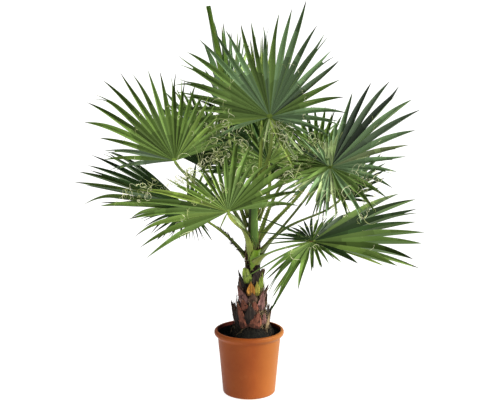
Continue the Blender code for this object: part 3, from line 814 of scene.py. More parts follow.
@dataclass
class Pot:
    """The nursery pot: a thin tapering wall with faint moulded rings, and a rolled lip."""

    height: float = 0.285
    foot_radius: float = 0.115
    neck_radius: float = 0.1365
    lip_radius: float = 0.1525
    lip_depth: float = 0.032
    lip_round: float = 0.009
    roll: float = 0.020  # how far down the lip's soft under-roll reaches
    roll_swell: float = 0.72  # how early the roll bulges out
    roll_steps: int = 9
    mouth_radius: float = 0.1385
    mouth_round: float = 0.002
    mouth_depth: float = 0.008
    wall: float = 0.0035
    wall_steps: int = 12
    foot_round: float = 0.009
    foot_flat: float = 0.8  # how much of the underside is flat
    ring_depth: float = 0.0004
    ring_steps: tuple[int, int] = (10, 11)
    seam: float = 0.002
    pin: float = 0.0005  # the radius at which the underside and the floor close
    painted_shade_from: int = 3  # how many rings past its highest one the inside's painted shade begins
    sides: int = 160

    def arc(self, centre: tuple[float, float], radius: float, start: float, end: float, steps: int) -> list:
        """Points of a profile on an arc, its angles in degrees."""
        turns = [math.radians(start + (end - start) * k / steps) for k in range(steps + 1)]
        return [(centre[0] + radius * math.cos(t), centre[1] + radius * math.sin(t)) for t in turns]

    def profile(self) -> list[tuple[float, float]]:
        """The wall's outline as (radius, height), from the middle of the underside round to the floor inside.

        Returns:
            The outline's points in order.
        """
        lip_foot = self.height - self.lip_depth
        radii, levels = (self.foot_radius, self.neck_radius), (self.foot_round, lip_foot - 3 * self.seam)
        wall = [(between(radii, k / self.wall_steps) + self.ring_depth * (k in self.ring_steps),
                 between(levels, k / self.wall_steps)) for k in range(1, self.wall_steps + 1)]
        shares = [k / self.roll_steps for k in range(1, self.roll_steps + 1)]
        rolled = [(between((self.neck_radius, self.lip_radius), (3 * t * t - 2 * t**3) ** self.roll_swell),
                   lip_foot - self.seam + self.roll * t) for t in shares]
        foot = (self.foot_radius - self.foot_round, self.foot_round)
        lip = (self.lip_radius - self.lip_round, self.height - self.lip_round)
        mouth = (self.mouth_radius + self.mouth_round, self.height - self.mouth_round)
        return [
            (self.pin, 0.0), (self.foot_radius * self.foot_flat, 0.0),
            *self.arc(foot, self.foot_round, -90, 0, 8),
            *wall, (self.neck_radius + 0.0003, lip_foot - self.seam), *rolled,
            *self.arc(lip, self.lip_round, 5, 90, 10),
            *self.arc(mouth, self.mouth_round, 90, 180, 4),
            (self.mouth_radius - 0.0005, self.height - self.mouth_depth),
            (self.neck_radius - self.wall, lip_foot - self.mouth_depth),
            (self.foot_radius - self.wall, self.wall), (self.pin, self.wall),
        ]

    def build(self) -> None:
        """Turns the pot and dresses it."""
        around = circle(self.sides)
        rings = np.array([around * radius + UP * level for radius, level in self.profile()])
        draft = Draft()
        draft.add_tube(rings)
        # from below the lip the inside is a darker plain colour: painted shade
        dark = (int(np.argmax(rings[:, 0, 2])) + self.painted_shade_from) * self.sides
        draft.finish_of[dark:] = [1] * (len(draft.faces) - dark)
        inner = PlainFinish("pot_inside", shade(84, 30, 22), 0.7, 0.1)
        settle(draft.piece("nursery_pot", [PotFinish().make(), inner.make()], 30), "pot", "pot")


@dataclass
class Soil:
    """The potting soil: a lumpy top with loose crumbs, bark bits and a few pale specks."""

    level: float = 0.268
    radius: float = 0.1368
    rings: int = 46
    sides: int = 150
    lump: float = 0.0035
    rise: float = 0.003  # how much higher the soil lies against the wall
    skirt: tuple[float, float] = (0.94, 0.02)  # its radius over the soil's, and how deep it goes
    crumbs: int = 1500
    crumb_sizes: tuple[float, float] = (0.002, 0.0075)
    specks: int = 46
    speck_sizes: tuple[float, float] = (0.002, 0.0045)
    trunk_radius: float = 0.062
    seed: int = 41

    def surface(self, across: float, turn: float) -> Array:
        """The place on top of the soil, lumps and all.

        Args:
            across: How far it is from the middle.
            turn: Its direction from there, in radians.

        Returns:
            The point.
        """
        spot = bearing(turn) * across
        fine = lumps(spot, 70) * 0.6 + lumps(spot + 3, 190) * 0.4
        return spot + UP * (self.level + self.lump * fine + self.rise * (across / self.radius) ** 6)

    def top(self) -> Piece:
        """The soil's top, with a skirt that goes down inside the pot.

        Returns:
            The piece.
        """
        draft = Draft()
        turns = np.linspace(0, TURN, self.sides, endpoint=False)
        rings = np.array([[self.surface(self.radius * k / self.rings, turn) for turn in turns]
                          for k in range(self.rings, 0, -1)])
        narrow, depth = self.skirt
        skirt = rings[:1] * np.array((narrow, narrow, 0)) + UP * (self.level - depth)
        draft.add_tube(np.concatenate([skirt, rings]))
        return draft.piece("soil_top", [SoilFinish("peat", shade(2, 2, 3), shade(9, 9, 9)).make()], 60)

    def crumb(self, draft: Draft, rng: random.Random, size: float, finish: int, near: float = 0.0) -> None:
        """Drops one crumb, an uneven eight-sided lump, on the soil.

        Args:
            draft: The piece that it joins.
            rng: The source of its shape and place.
            size: Its width.
            finish: Its finish.
            near: How strongly it keeps to the front.
        """
        inner = self.trunk_radius / self.radius
        across = self.radius * math.sqrt(rng.uniform(inner**2, 0.93))
        turn = rng.gauss(-math.pi / 2, 0.7) if rng.random() < near else rng.uniform(0, TURN)
        centre = self.surface(across, turn) + UP * size * 0.12
        reach = [size * rng.uniform(0.32, 0.62) for _ in range(6)]
        side = bearing(rng.uniform(0, TURN))
        other = np.cross(UP, side)
        ways = (side, other, -side, -other, UP * 0.8, -UP * 0.5)
        first = draft.add_points([centre + way * r for way, r in zip(ways, reach)])
        for k in range(4):
            after = (k + 1) % 4
            draft.add_face((first + k, first + after, first + 4), finish)
            draft.add_face((first + after, first + k, first + 5), finish)

    def build(self) -> None:
        """Lays the soil and its crumbs."""
        settle(self.top(), "soil", "soil")
        rng = random.Random(self.seed)
        draft = Draft()
        for _ in range(self.crumbs):
            self.crumb(draft, rng, rng.uniform(*self.crumb_sizes), rng.choice((0, 0, 0, 1)))
        for _ in range(self.specks):
            self.crumb(draft, rng, rng.uniform(*self.speck_sizes), 2, near=0.8)
        finishes = [SoilFinish("peat_crumb", shade(2, 2, 3), shade(11, 11, 11)).make(),
                    SoilFinish("bark_chip", shade(9, 8, 7), shade(30, 26, 23)).make(),
                    SoilFinish("pale_speck", shade(66, 72, 62), shade(120, 124, 108)).make()]
        settle(draft.piece("soil_crumbs", finishes, None), "soil")


def tube_along(path: Array, radii: Array, sides: int = 3, flat: float = 1.0) -> Array:
    """The rings of a thin tube along a path.

    Args:
        path: Points along its middle.
        radii: Its radius at each point.
        sides: How many sides it has.
        flat: Its thickness over its width.

    Returns:
        Rings by points by x, y, z.
    """
    slope = unit(np.gradient(path, axis=0))
    across = np.cross(slope, UP)
    across = np.where(np.linalg.norm(across, axis=1, keepdims=True) < 0.05, RIGHT, across)
    across = unit(across - slope * np.sum(across * slope, axis=1, keepdims=True))
    through = np.cross(slope, across)
    turns = np.linspace(0, TURN, sides, endpoint=False)
    turns = turns[:, None]
    ring = across[:, None] * np.cos(turns) + through[:, None] * (flat * np.sin(turns))
    return path[:, None] + ring * radii[:, None, None]


@dataclass
class Trunk:
    """The short trunk: a bulb of matted fibre clad in cut leaf bases, by the same rule as its solid."""

    foot: float = 0.2683
    top: float = 0.575
    girths: Pairs = ((0.0, 0.070), (0.3, 0.071), (0.5, 0.054), (0.75, 0.042), (1.0, 0.031))
    bend: Pairs = ((0.0, 0.012), (0.4, 0.008), (0.7, 0.012), (1.0, 0.016))
    core_rings: int = 60
    core_sides: int = 96
    core_inset: float = 0.002
    core_mats: tuple = ((2, 7, 0.0025), (9, 1.4, 0.0012))  # of each layer of lumps: how often round, scale, depth
    mass_rings: int = 18
    mass_sides: int = 120
    mound: tuple[float, float] = (0.064, 0.034)  # the root mass at the trunk's foot: its height and its flare
    boots: int = 27
    boot_step: float = 137.5
    boot_start: float = -120
    boot_heights: tuple[float, float] = (0.290, 0.528)
    boot_shape: tuple = ((-0.010, 0.062, 0.018), (0.020, 0.060, 0.019),
                         (0.050, 0.044, 0.015), (0.074, 0.030, 0.011))  # stations: how far up, width, depth
    boot_sizes: tuple[float, float] = (1.15, 0.72)
    boot_leans: tuple[float, float] = (16, 22)
    boot_cut: float = 24
    boot_swell: float = 1.12  # how much wider each is than its solid, up to its thin margins
    peaked: int = 20  # the lower leaf bases are torn to a point, and the ones from here up are cut
    peaks: tuple[float, float] = (0.006, 0.014)
    narrowing: float = 0.42  # how much a torn leaf base narrows to its tip
    thinning: tuple[float, float] = (0.2, 0.5)  # how much a cut one and a torn one thin out to the tip
    grooves: tuple = ((11, 2.5, 0.0022), (3, 4, 0.0030))  # of each kind: its lumps across and along, and its depth
    fray: float = 0.0030
    tear: float = 0.008
    boot_rings: int = 16
    boot_points: int = 26
    fibres: int = 420
    roots: int = 260
    strand_points: int = 10
    strand_radii: tuple[float, float] = (0.0005, 0.0012)
    seed: int = 52

    tones = {1: BootTone.BROWN, 14: BootTone.PLUM}
    spare_tones = (BootTone.BROWN, BootTone.PLUM, BootTone.RUSSET, BootTone.DARK)
    # the ones that the photo shows from the front, which take the place of their steps of the spiral
    seen = {
        0: LeafBase(-116, 0.324, 1.28, 0.58, -4, BootTone.RUSSET, 18, 0.008),
        3: LeafBase(-80, 0.322, 0.82, 0.86, 2, BootTone.RUSSET, -16, 0.008),
        5: LeafBase(-149, 0.329, 0.86, 0.42, 6, BootTone.DARK, 15, 0.004),
        6: LeafBase(-29, 0.342, 0.82, 0.46, 2, BootTone.DARK, -12, 0.006),
        8: LeafBase(-91, 0.342, 0.98, 0.90, 0, BootTone.DARK, 3, 0.004),
        10: LeafBase(172, 0.350, 0.74, 0.60, 12, BootTone.BROWN),
        11: LeafBase(-49, 0.396, 1.02, 0.62, 1, BootTone.PLUM, -7, 0.008),
        13: LeafBase(-112, 0.392, 0.58, 0.58, 2, BootTone.RUSSET, 17, 0.004),
        16: LeafBase(-83, 0.416, 0.60, 0.76, 4, BootTone.BROWN, 1, 0.000),
        18: LeafBase(-119, 0.421, 0.96, 0.66, -2, BootTone.PLUM, 27, 0.007),
        19: LeafBase(-27, 0.477, 0.90, 0.44, 4, BootTone.GREEN, 7, 0.004),
        21: LeafBase(-90, 0.459, 0.68, 0.62, 4, BootTone.OCHRE, 4, 0.006),
        23: LeafBase(-140, 0.490, 0.84, 0.44, 4, BootTone.DARK, 20, 0.008),
        24: LeafBase(-67, 0.502, 0.74, 0.62, 4, BootTone.DARK, 0, 0.004, False),
        26: LeafBase(-117, 0.512, 0.82, 0.72, 5, BootTone.GREEN, 6, 0.007, False),
    }
    # the small ones that show between them
    small = (
        LeafBase(-76, 0.383, 0.62, 0.66, 2, BootTone.RUSSET, 4, 0.003),
        LeafBase(-28, 0.451, 0.48, 0.20, 35, BootTone.BROWN, -48, 0.006),
        LeafBase(-62, 0.457, 0.74, 0.44, 5, BootTone.LEAF, 6, 0.006),
        LeafBase(-44, 0.474, 0.80, 0.44, 4, BootTone.GREEN, 4, 0.005),
        LeafBase(-150, 0.462, 0.80, 0.50, 6, BootTone.BROWN, 8, 0.004),
        LeafBase(-30, 0.304, 0.84, 0.42, 2, BootTone.TAN, -12, 0.008),
        LeafBase(-46, 0.331, 0.62, 0.46, 5, BootTone.PLUM, 4, 0.008),
        LeafBase(-135, 0.352, 0.86, 0.46, -2, BootTone.DARK, 10, 0.006),
    )

    def centre(self, share: float) -> Array:
        """The middle of the trunk at a share of its height."""
        return np.array((read_off(self.bend, share), 0, between((self.foot, self.top), share)))

    def core(self) -> Piece:
        """The matted core that shows between the leaf bases.

        Returns:
            The piece.
        """
        rings = []
        for share in np.linspace(0, 1, self.core_rings):
            girth = read_off(self.girths, share) - self.core_inset
            ring = []
            for way in circle(self.core_sides):
                mat = sum(lumps(way * wide + UP * share * 2, scale) * deep
                          for wide, scale, deep in self.core_mats)
                ring.append(self.centre(share) + way * (girth + mat))
            rings.append(ring)
        draft = Draft()
        draft.add_tube(np.array(rings))
        finish = BarkFinish("trunk_fibre_mat", shade(10, 8, 7), shade(32, 24, 20), shade(76, 60, 48), 0.9, 260)
        return draft.piece("trunk_core", [finish.make()], 50)

    def root_mass(self) -> Piece:
        """The lumpy mass of fine dark roots that the trunk stands in, higher and wider at the front.

        Returns:
            The piece.
        """
        rings = []
        high, wide = self.mound
        for t in np.linspace(0, 1, self.mass_rings):
            ring = []
            for way in circle(self.mass_sides):
                fine = lumps(way * 3 + UP * t, 3.0) * 0.5 + lumps(way * 9 + UP * t * 3, 2.2) * 0.5
                front = max(0.0, -way[1]) ** 2
                height = high * (0.55 + 0.45 * front + 0.25 * lumps(way * 2, 2.5)) * t
                flare = wide * (1 - t) ** 1.6 * (0.6 + 0.7 * front)
                grip = self.girths[0][1] - 0.004 + 0.010 * (1 - t**6) * (0.4 + 0.6 * front)
                ring.append(self.centre(0) + way * (grip + flare + 0.003 * fine) + UP * (height - 0.006))
            rings.append(ring)
        draft = Draft()
        draft.add_tube(np.array(rings))
        finish = BarkFinish("root_mass", shade(2, 2, 2), shade(9, 9, 8), shade(66, 63, 48), 0.95, 420)
        return draft.piece("root_mass", [finish.make()], 60)

    def boot(self, draft: Draft, base: LeafBase, seed: int, cut_finish: int) -> None:
        """Adds one leaf base: a clasping crescent with thin ragged margins, torn to a point or cut on a slant.

        Args:
            draft: The piece that it joins.
            base: Its place and size.
            seed: The source of its small differences.
            cut_finish: The finish of its cut.
        """
        on_trunk = (base.height - self.foot) / (self.top - self.foot)
        girth = read_off(self.girths, on_trunk)
        lean, skew = math.radians(base.lean), math.radians(base.skew)
        out = bearing(math.radians(base.turn))
        level_across = np.cross(out, UP)
        straight = out * math.sin(lean) + UP * math.cos(lean)
        climb = straight * math.cos(skew) + level_across * math.sin(skew)
        across = level_across * math.cos(skew) - straight * math.sin(skew)
        outward = -np.cross(across, climb)
        foot = self.centre(on_trunk) + out * (girth + base.stand)
        scales = np.array(((base.length,), (base.width,), (base.width,)))
        alongs, widths, depths = np.array(self.boot_shape).T * scales
        rng = random.Random(seed)
        slope = rng.uniform(-0.25, 0.25)
        peak = rng.uniform(*self.peaks) * base.length if base.torn else 0.0
        half, points = self.boot_points // 2, self.boot_points
        rings = []
        for t in np.linspace(0, 1, self.boot_rings):
            along = between((alongs[0], alongs[-1]), t)
            width = np.interp(along, alongs, widths) * self.boot_swell * (1 - self.narrowing * base.torn * t**3)
            depth = np.interp(along, alongs, depths) * (1 - self.thinning[base.torn] * t**2)
            ring = []
            for place, side in enumerate(out_and_back(half)):
                is_outer = place < half
                wrap = -0.5 * (width / 2 * side) ** 2 / girth * (1 - t)
                bulge = depth / 2 * (1 - abs(side) ** 2.6)
                level = bulge if is_outer else -bulge * (0.9 - 0.9 * t) - depth * 0.06
                spot = foot + climb * (along + peak * t**3 * (1 - 1.7 * abs(side)))
                groove = sum(lumps((side * wide, seed * 5.0, t * long)) * deep * is_outer
                             for wide, long, deep in self.grooves)
                fray = lumps((side * 4, seed * 7.0, t * 9)) * self.fray * (abs(side) > 0.85)
                if t == 1:
                    slant = math.tan(math.radians(self.boot_cut)) * -level
                    tear = lumps((side * 5 + seed, seed * 3.0, 2.0)) * self.tear
                    spot = spot + climb * (slant + tear + side * slope * width / 2 - abs(side) ** 3 * 0.005)
                ring.append(spot + across * (width / 2 * side + fray) + outward * (level + wrap + groove))
            rings.append(ring)
        rings = np.array(rings)
        middle = rings[-1].mean(axis=0)
        lip = middle + (rings[-1] - middle) * 0.80
        hollow = middle + (rings[-1] - middle) * 0.62 - climb * 0.006 * base.length
        first = len(draft.faces)
        draft.add_tube(rings, 3 * list(BootTone).index(base.tone) + 1)
        draft.faces.pop()
        draft.finish_of.pop()
        self.shade_boot(draft, first, seed)
        last = draft.count - points
        start = draft.add_points(np.array([lip, hollow]))
        for low, high in ((last, start), (start, start + points)):
            for k in range(points):
                after = (k + 1) % points
                draft.add_face((low + k, low + after, high + after, high + k), cut_finish)
        draft.add_face(tuple(start + points + k for k in range(points)), cut_finish)

    def shade_boot(self, draft: Draft, first: int, seed: int) -> None:
        """Paints shade on a leaf base's foot, margins, inner face and stray patches with its painted-shade copy, and
        a painted highlight on one margin.

        Args:
            draft: The piece that it is in.
            first: The first of its faces.
            seed: The source of its small differences.
        """
        points, half = self.boot_points, self.boot_points // 2
        painted_highlight_side = random.Random(seed + 900).choice((-1, 1))
        for k in range((self.boot_rings - 1) * points):
            ring, place = divmod(k, points)
            t, side = ring / (self.boot_rings - 1), 1 - 2 * (place + 0.5) / (half - 1)
            patch = lumps((side * 2.2, seed * 4.0, t * 3.5))
            # painted highlight on one margin; painted shade on the foot, the margins, the inner face and random
            # patches
            if place < half and t + 0.3 * patch > 0.22 and side * painted_highlight_side > 0.62 - 0.3 * patch:
                draft.finish_of[first + k] += 1
            elif place >= half or t + 0.35 * patch < 0.16 or abs(side) + 0.3 * patch > 0.90 or patch < -0.36:
                draft.finish_of[first + k] -= 1

    def spiral(self, step: int) -> LeafBase:
        """One leaf base of the spiral, by the same rule as the solid's.

        Args:
            step: Its place in the spiral, from the lowest.

        Returns:
            Its place, size and tone.
        """
        if step in self.seen:
            return self.seen[step]
        share, rng = step / (self.boots - 1), random.Random(step)
        size = between(self.boot_sizes, share) * rng.uniform(0.92, 1.08)
        lean = between(self.boot_leans, share) + rng.uniform(-4, 4)
        tone = self.tones.get(step, self.spare_tones[step % len(self.spare_tones)])
        return LeafBase(self.boot_start + self.boot_step * step, between(self.boot_heights, share), size, size, lean,
                        tone, torn=step < self.peaked)

    def leaf_bases(self) -> Piece:
        """All the cut leaf bases.

        Returns:
            The piece.
        """
        draft = Draft()
        bases = [self.spiral(step) for step in range(self.boots)] + list(self.small)
        finishes = [finish for tone in BootTone for finish in tone.finishes()]
        for seed, base in enumerate(bases):
            self.boot(draft, base, seed, len(finishes))
        cut = BarkFinish("cut_fibre", shade(56, 44, 32), shade(128, 112, 84), shade(196, 186, 158), 0.85, 500)
        return draft.piece("leaf_bases", finishes + [cut.make()], 50)

    def strand(self, draft: Draft, rng: random.Random, root: bool) -> None:
        """Adds one loose fibre on the trunk, or one root at its foot.

        Args:
            draft: The piece that it joins.
            rng: The source of its place and curl.
            root: Whether it runs out over the soil.
        """
        tan = rng.random() < 0.40
        turn = rng.gauss(-0.75, 0.4) if tan and not root else rng.uniform(-math.pi, math.pi)
        count = self.strand_points
        if root:
            turn = rng.gauss(-1.6, 1.0)
            shares = np.linspace(rng.uniform(0.04, 0.17), -0.012, count)
            drift = rng.uniform(-0.7, 0.7)
            swell = np.linspace(0.008, 0.006 + rng.uniform(0.006, 0.030), count)
        else:
            low = rng.uniform(0.0, 0.85) ** 1.4
            shares = np.linspace(low, min(low + rng.uniform(0.10, 0.26), 0.97), count)
            drift = rng.uniform(-0.45, 0.45)
            swell = np.linspace(0.004, 0.004 + rng.uniform(0.003, 0.014), count)
        path = []
        for k, share in enumerate(shares):
            way = bearing(turn + drift * k / count + 0.05 * math.sin(k * 1.7 + turn * 9))
            path.append(self.centre(share) + way * (read_off(self.girths, max(share, 0)) + swell[k]))
        radii = np.linspace(1, 0.35, count) * rng.uniform(*self.strand_radii)
        finish = 2 if root and rng.random() < 0.85 else (0 if tan else 1)
        draft.add_tube(tube_along(np.array(path), radii, 4, 0.6), finish)

    def strands(self) -> Piece:
        """The loose fibres among the leaf bases and the fine roots at the trunk's foot.

        Returns:
            The piece.
        """
        rng = random.Random(self.seed)
        draft = Draft()
        for k in range(self.fibres + self.roots):
            self.strand(draft, rng, k >= self.fibres)
        finishes = [PlainFinish("tan_fibre", shade(176, 154, 116), 0.85, 0.2).make(),
                    PlainFinish("brown_fibre", shade(64, 44, 33), 0.85, 0.2).make(),
                    PlainFinish("dark_root", shade(52, 48, 42), 0.85, 0.1).make()]
        return draft.piece("trunk_fibres", finishes, 80)

    def build(self) -> None:
        """Builds the trunk and dresses it."""
        settle(self.core(), "trunk", "trunk")
        settle(self.root_mass(), "trunk")
        settle(self.leaf_bases(), "trunk")
        settle(self.strands(), "trunk")


@dataclass
class CrownShaft:
    """The green bundle above the trunk: channelled stalk bases that clasp each other, in torn brown fibre."""

    foot: float = 0.5753
    top: float = 0.835
    radii: tuple[float, float] = (0.031, 0.019)
    middles: tuple[float, float] = (0.016, 0.018)
    sheaths: int = 8
    sheath_step: float = TURN * 0.382
    sheath_rings: int = 22
    sheath_points: int = 11
    sheath_lows: tuple[float, float] = (-0.018, 0.002)  # over the shaft's foot: the first one's, and what each adds
    sheath_highs: tuple[float, float] = (0.135, -0.011)
    sheath_spread: tuple[float, float] = (150, 65)  # how far round it reaches, from its foot to its top
    bare_from: float = 0.630  # above this the green shows through the fibre
    stem_rings: int = 24
    stem_sides: int = 40
    seam: tuple[float, float] = (200, 236)  # between these directions the stem is dark
    clasp_rings: int = 20
    clasp_points: int = 13
    clasps: tuple = (((-104, 0.556), (-50, 0.644), 0.056, 5), ((-124, 0.606), (-113, 0.676), 0.036, 1),
                     ((-178, 0.572), (168, 0.632), 0.028, 2))  # foot and top as direction and height; width, tone
    fibres: int = 300
    fibre_points: int = 10
    fibre_radii: tuple[float, float] = (0.0005, 0.0012)
    seed: int = 63

    def centre(self, height: float) -> Array:
        """The middle of the shaft at a height."""
        return np.array((between(self.middles, (height - self.foot) / (self.top - self.foot)), 0, height))

    def radius(self, height: float) -> float:
        """The shaft's radius at a height, held below its foot."""
        return between(self.radii, max(height - self.foot, 0) / (self.top - self.foot))

    def sheath(self, draft: Draft, index: int, rng: random.Random) -> None:
        """Adds one clasping sheath: a thick curved strap that narrows as it rises.

        Args:
            draft: The piece that it joins.
            index: Its place, from the innermost.
            rng: The source of its small differences.
        """
        turn = self.sheath_step * index + 0.3
        ends = [self.foot + first + step * index for first, step in (self.sheath_lows, self.sheath_highs)]
        snug = 0.88 + 0.14 * index / (self.sheaths - 1)
        count, points = self.sheath_rings, self.sheath_points
        rings = []
        for t in np.linspace(0, 1, count):
            height = between(ends, t)
            radius = self.radius(height) * snug
            wide = math.radians(between(self.sheath_spread, t))
            thick = radius * (0.34 - 0.1 * t)
            lean = rng.uniform(-0.004, 0.004)
            ring = []
            for place, side in enumerate(out_and_back(points)):
                rise = 0.0006 * math.sin(side * 16) if place < points else -thick * (1 - abs(side) ** 3)
                ring.append(self.centre(height) + bearing(turn - wide / 2 * side + lean) * (radius + rise))
            rings.append(ring)
        first = len(draft.faces)
        draft.add_tube(np.array(rings), index % 3, (3, 3))
        for face in range(first, len(draft.faces) - 2):
            ring, place = divmod(face - first, 2 * points)
            height = between(ends, ring / (count - 1))
            if height + 0.02 * lumps((place * 0.4, index * 3.0, ring * 0.3)) < self.bare_from:
                draft.finish_of[face] = 3 + (place + ring // 3 + index) % 2

    def stem(self, draft: Draft) -> None:
        """Adds the smooth green stem of rolled young stalks, with a dark seam down its left.

        Args:
            draft: The piece that it joins.
        """
        turns = np.linspace(0, TURN, self.stem_sides, endpoint=False)
        rings = []
        for height in np.linspace(self.foot - 0.01, self.top - 0.001, self.stem_rings):
            flutes = self.radius(height) * 0.95 * (1 + 0.012 * np.sin(turns * 7 + height * 12))
            rings.append(self.centre(height) + circle(self.stem_sides) * flutes[:, None])
        first = len(draft.faces)
        draft.add_tube(np.array(rings), 2)
        for index in range(first, len(draft.faces) - 2):
            turn = math.degrees(turns[(index - first) % self.stem_sides]) % 360
            if self.seam[0] < turn < self.seam[1]:
                draft.finish_of[index] = 6
            elif turn > 318 or turn < 20:
                draft.finish_of[index] = 0

    def clasp(self, draft: Draft, foot: tuple[float, float], top: tuple[float, float], width: float,
              finish: int) -> None:
        """Adds the broad base of a stalk, which clasps the shaft and runs down it to a point.

        Args:
            draft: The piece that it joins.
            foot: The direction and the height of its point.
            top: The direction and the height where it becomes the stalk.
            width: Its greatest width.
            finish: Its finish.
        """
        rings = []
        for t in np.linspace(0, 1, self.clasp_rings):
            turn, height = (between(ends, t) for ends in zip(foot, top))
            radius = self.radius(height) + 0.0015 + 0.007 * t * t
            half = width / 2 * min(1.0, 0.06 + 1.5 * t) * (1 - 0.25 * t * t)
            ring = []
            for place, side in enumerate(out_and_back(self.clasp_points)):
                bulge = 0.0045 * (1 - side * side) if place < self.clasp_points else -0.003
                way = bearing(math.radians(turn) - side * half / radius)
                ring.append(self.centre(height) + way * (radius + bulge) + UP * 0.006 * side * side * t)
            rings.append(ring)
        draft.add_tube(np.array(rings), finish)

    def fibre(self, draft: Draft, rng: random.Random) -> None:
        """Adds one loose fibre, from a random low place up and round the shaft.

        Args:
            draft: The piece that it joins.
            rng: The source of its place and curl.
        """
        low = self.foot - 0.02 + 0.10 * rng.random() ** 1.6
        turn, drift = rng.uniform(0, TURN), rng.uniform(-1.1, 1.1)
        rise = rng.uniform(0.03, 0.08)
        path = []
        for t in np.linspace(0, 1, self.fibre_points):
            height = low + rise * t
            off = self.radius(height) + 0.001 + 0.007 * t * t * rng.uniform(0.7, 1.3)
            path.append(self.centre(height) + bearing(turn + drift * t) * off)
        radii = np.linspace(1, 0.3, self.fibre_points) * rng.uniform(*self.fibre_radii)
        draft.add_tube(tube_along(np.array(path), radii, 4, 0.6), rng.choice((0, 1, 1, 2, 2, 2)))

    def build(self) -> None:
        """Builds the sheaths, the stalks' broad bases and the fibre among them."""
        rng = random.Random(self.seed)
        draft = Draft()
        self.stem(draft)
        for index in range(self.sheaths):
            self.sheath(draft, index, rng)
        for clasp in self.clasps:
            self.clasp(draft, *clasp)
        finishes = [StalkFinish("sheath_green", shade(88, 118, 44), shade(116, 142, 58)).make(),
                    StalkFinish("sheath_yellow", shade(112, 134, 48), shade(140, 158, 66)).make(),
                    StalkFinish("sheath_deep", shade(64, 92, 36), shade(88, 116, 46)).make(),
                    BarkFinish("sheath_fibre", shade(16, 12, 9), shade(44, 31, 23), shade(92, 70, 50)).make(),
                    BarkFinish("sheath_rust", shade(28, 18, 12), shade(78, 50, 34), shade(128, 98, 70)).make(),
                    StalkFinish("sheath_bright", shade(112, 146, 40), shade(146, 170, 62)).make(),
                    StalkFinish("sheath_seam", shade(48, 52, 28), shade(74, 78, 42)).make()]
        settle(draft.piece("shaft_sheaths", finishes, 50), "stalk", "crown_shaft")
        draft = Draft()
        for _ in range(self.fibres):
            self.fibre(draft, rng)
        finishes = [PlainFinish("tan_fibre", shade(158, 136, 100), 0.85, 0.2).make(),
                    PlainFinish("red_fibre", shade(92, 56, 38), 0.85, 0.2).make(),
                    PlainFinish("black_fibre", shade(24, 20, 17), 0.8, 0.2).make()]
        settle(draft.piece("shaft_fibres", finishes, 80), "stalk")


@dataclass
class Rail:
    """A stalk's middle line, and its slope, its direction to the right, its width and its depth at each point."""

    points: Array
    slopes: Array
    across: Array
    width: Array
    depth: Array


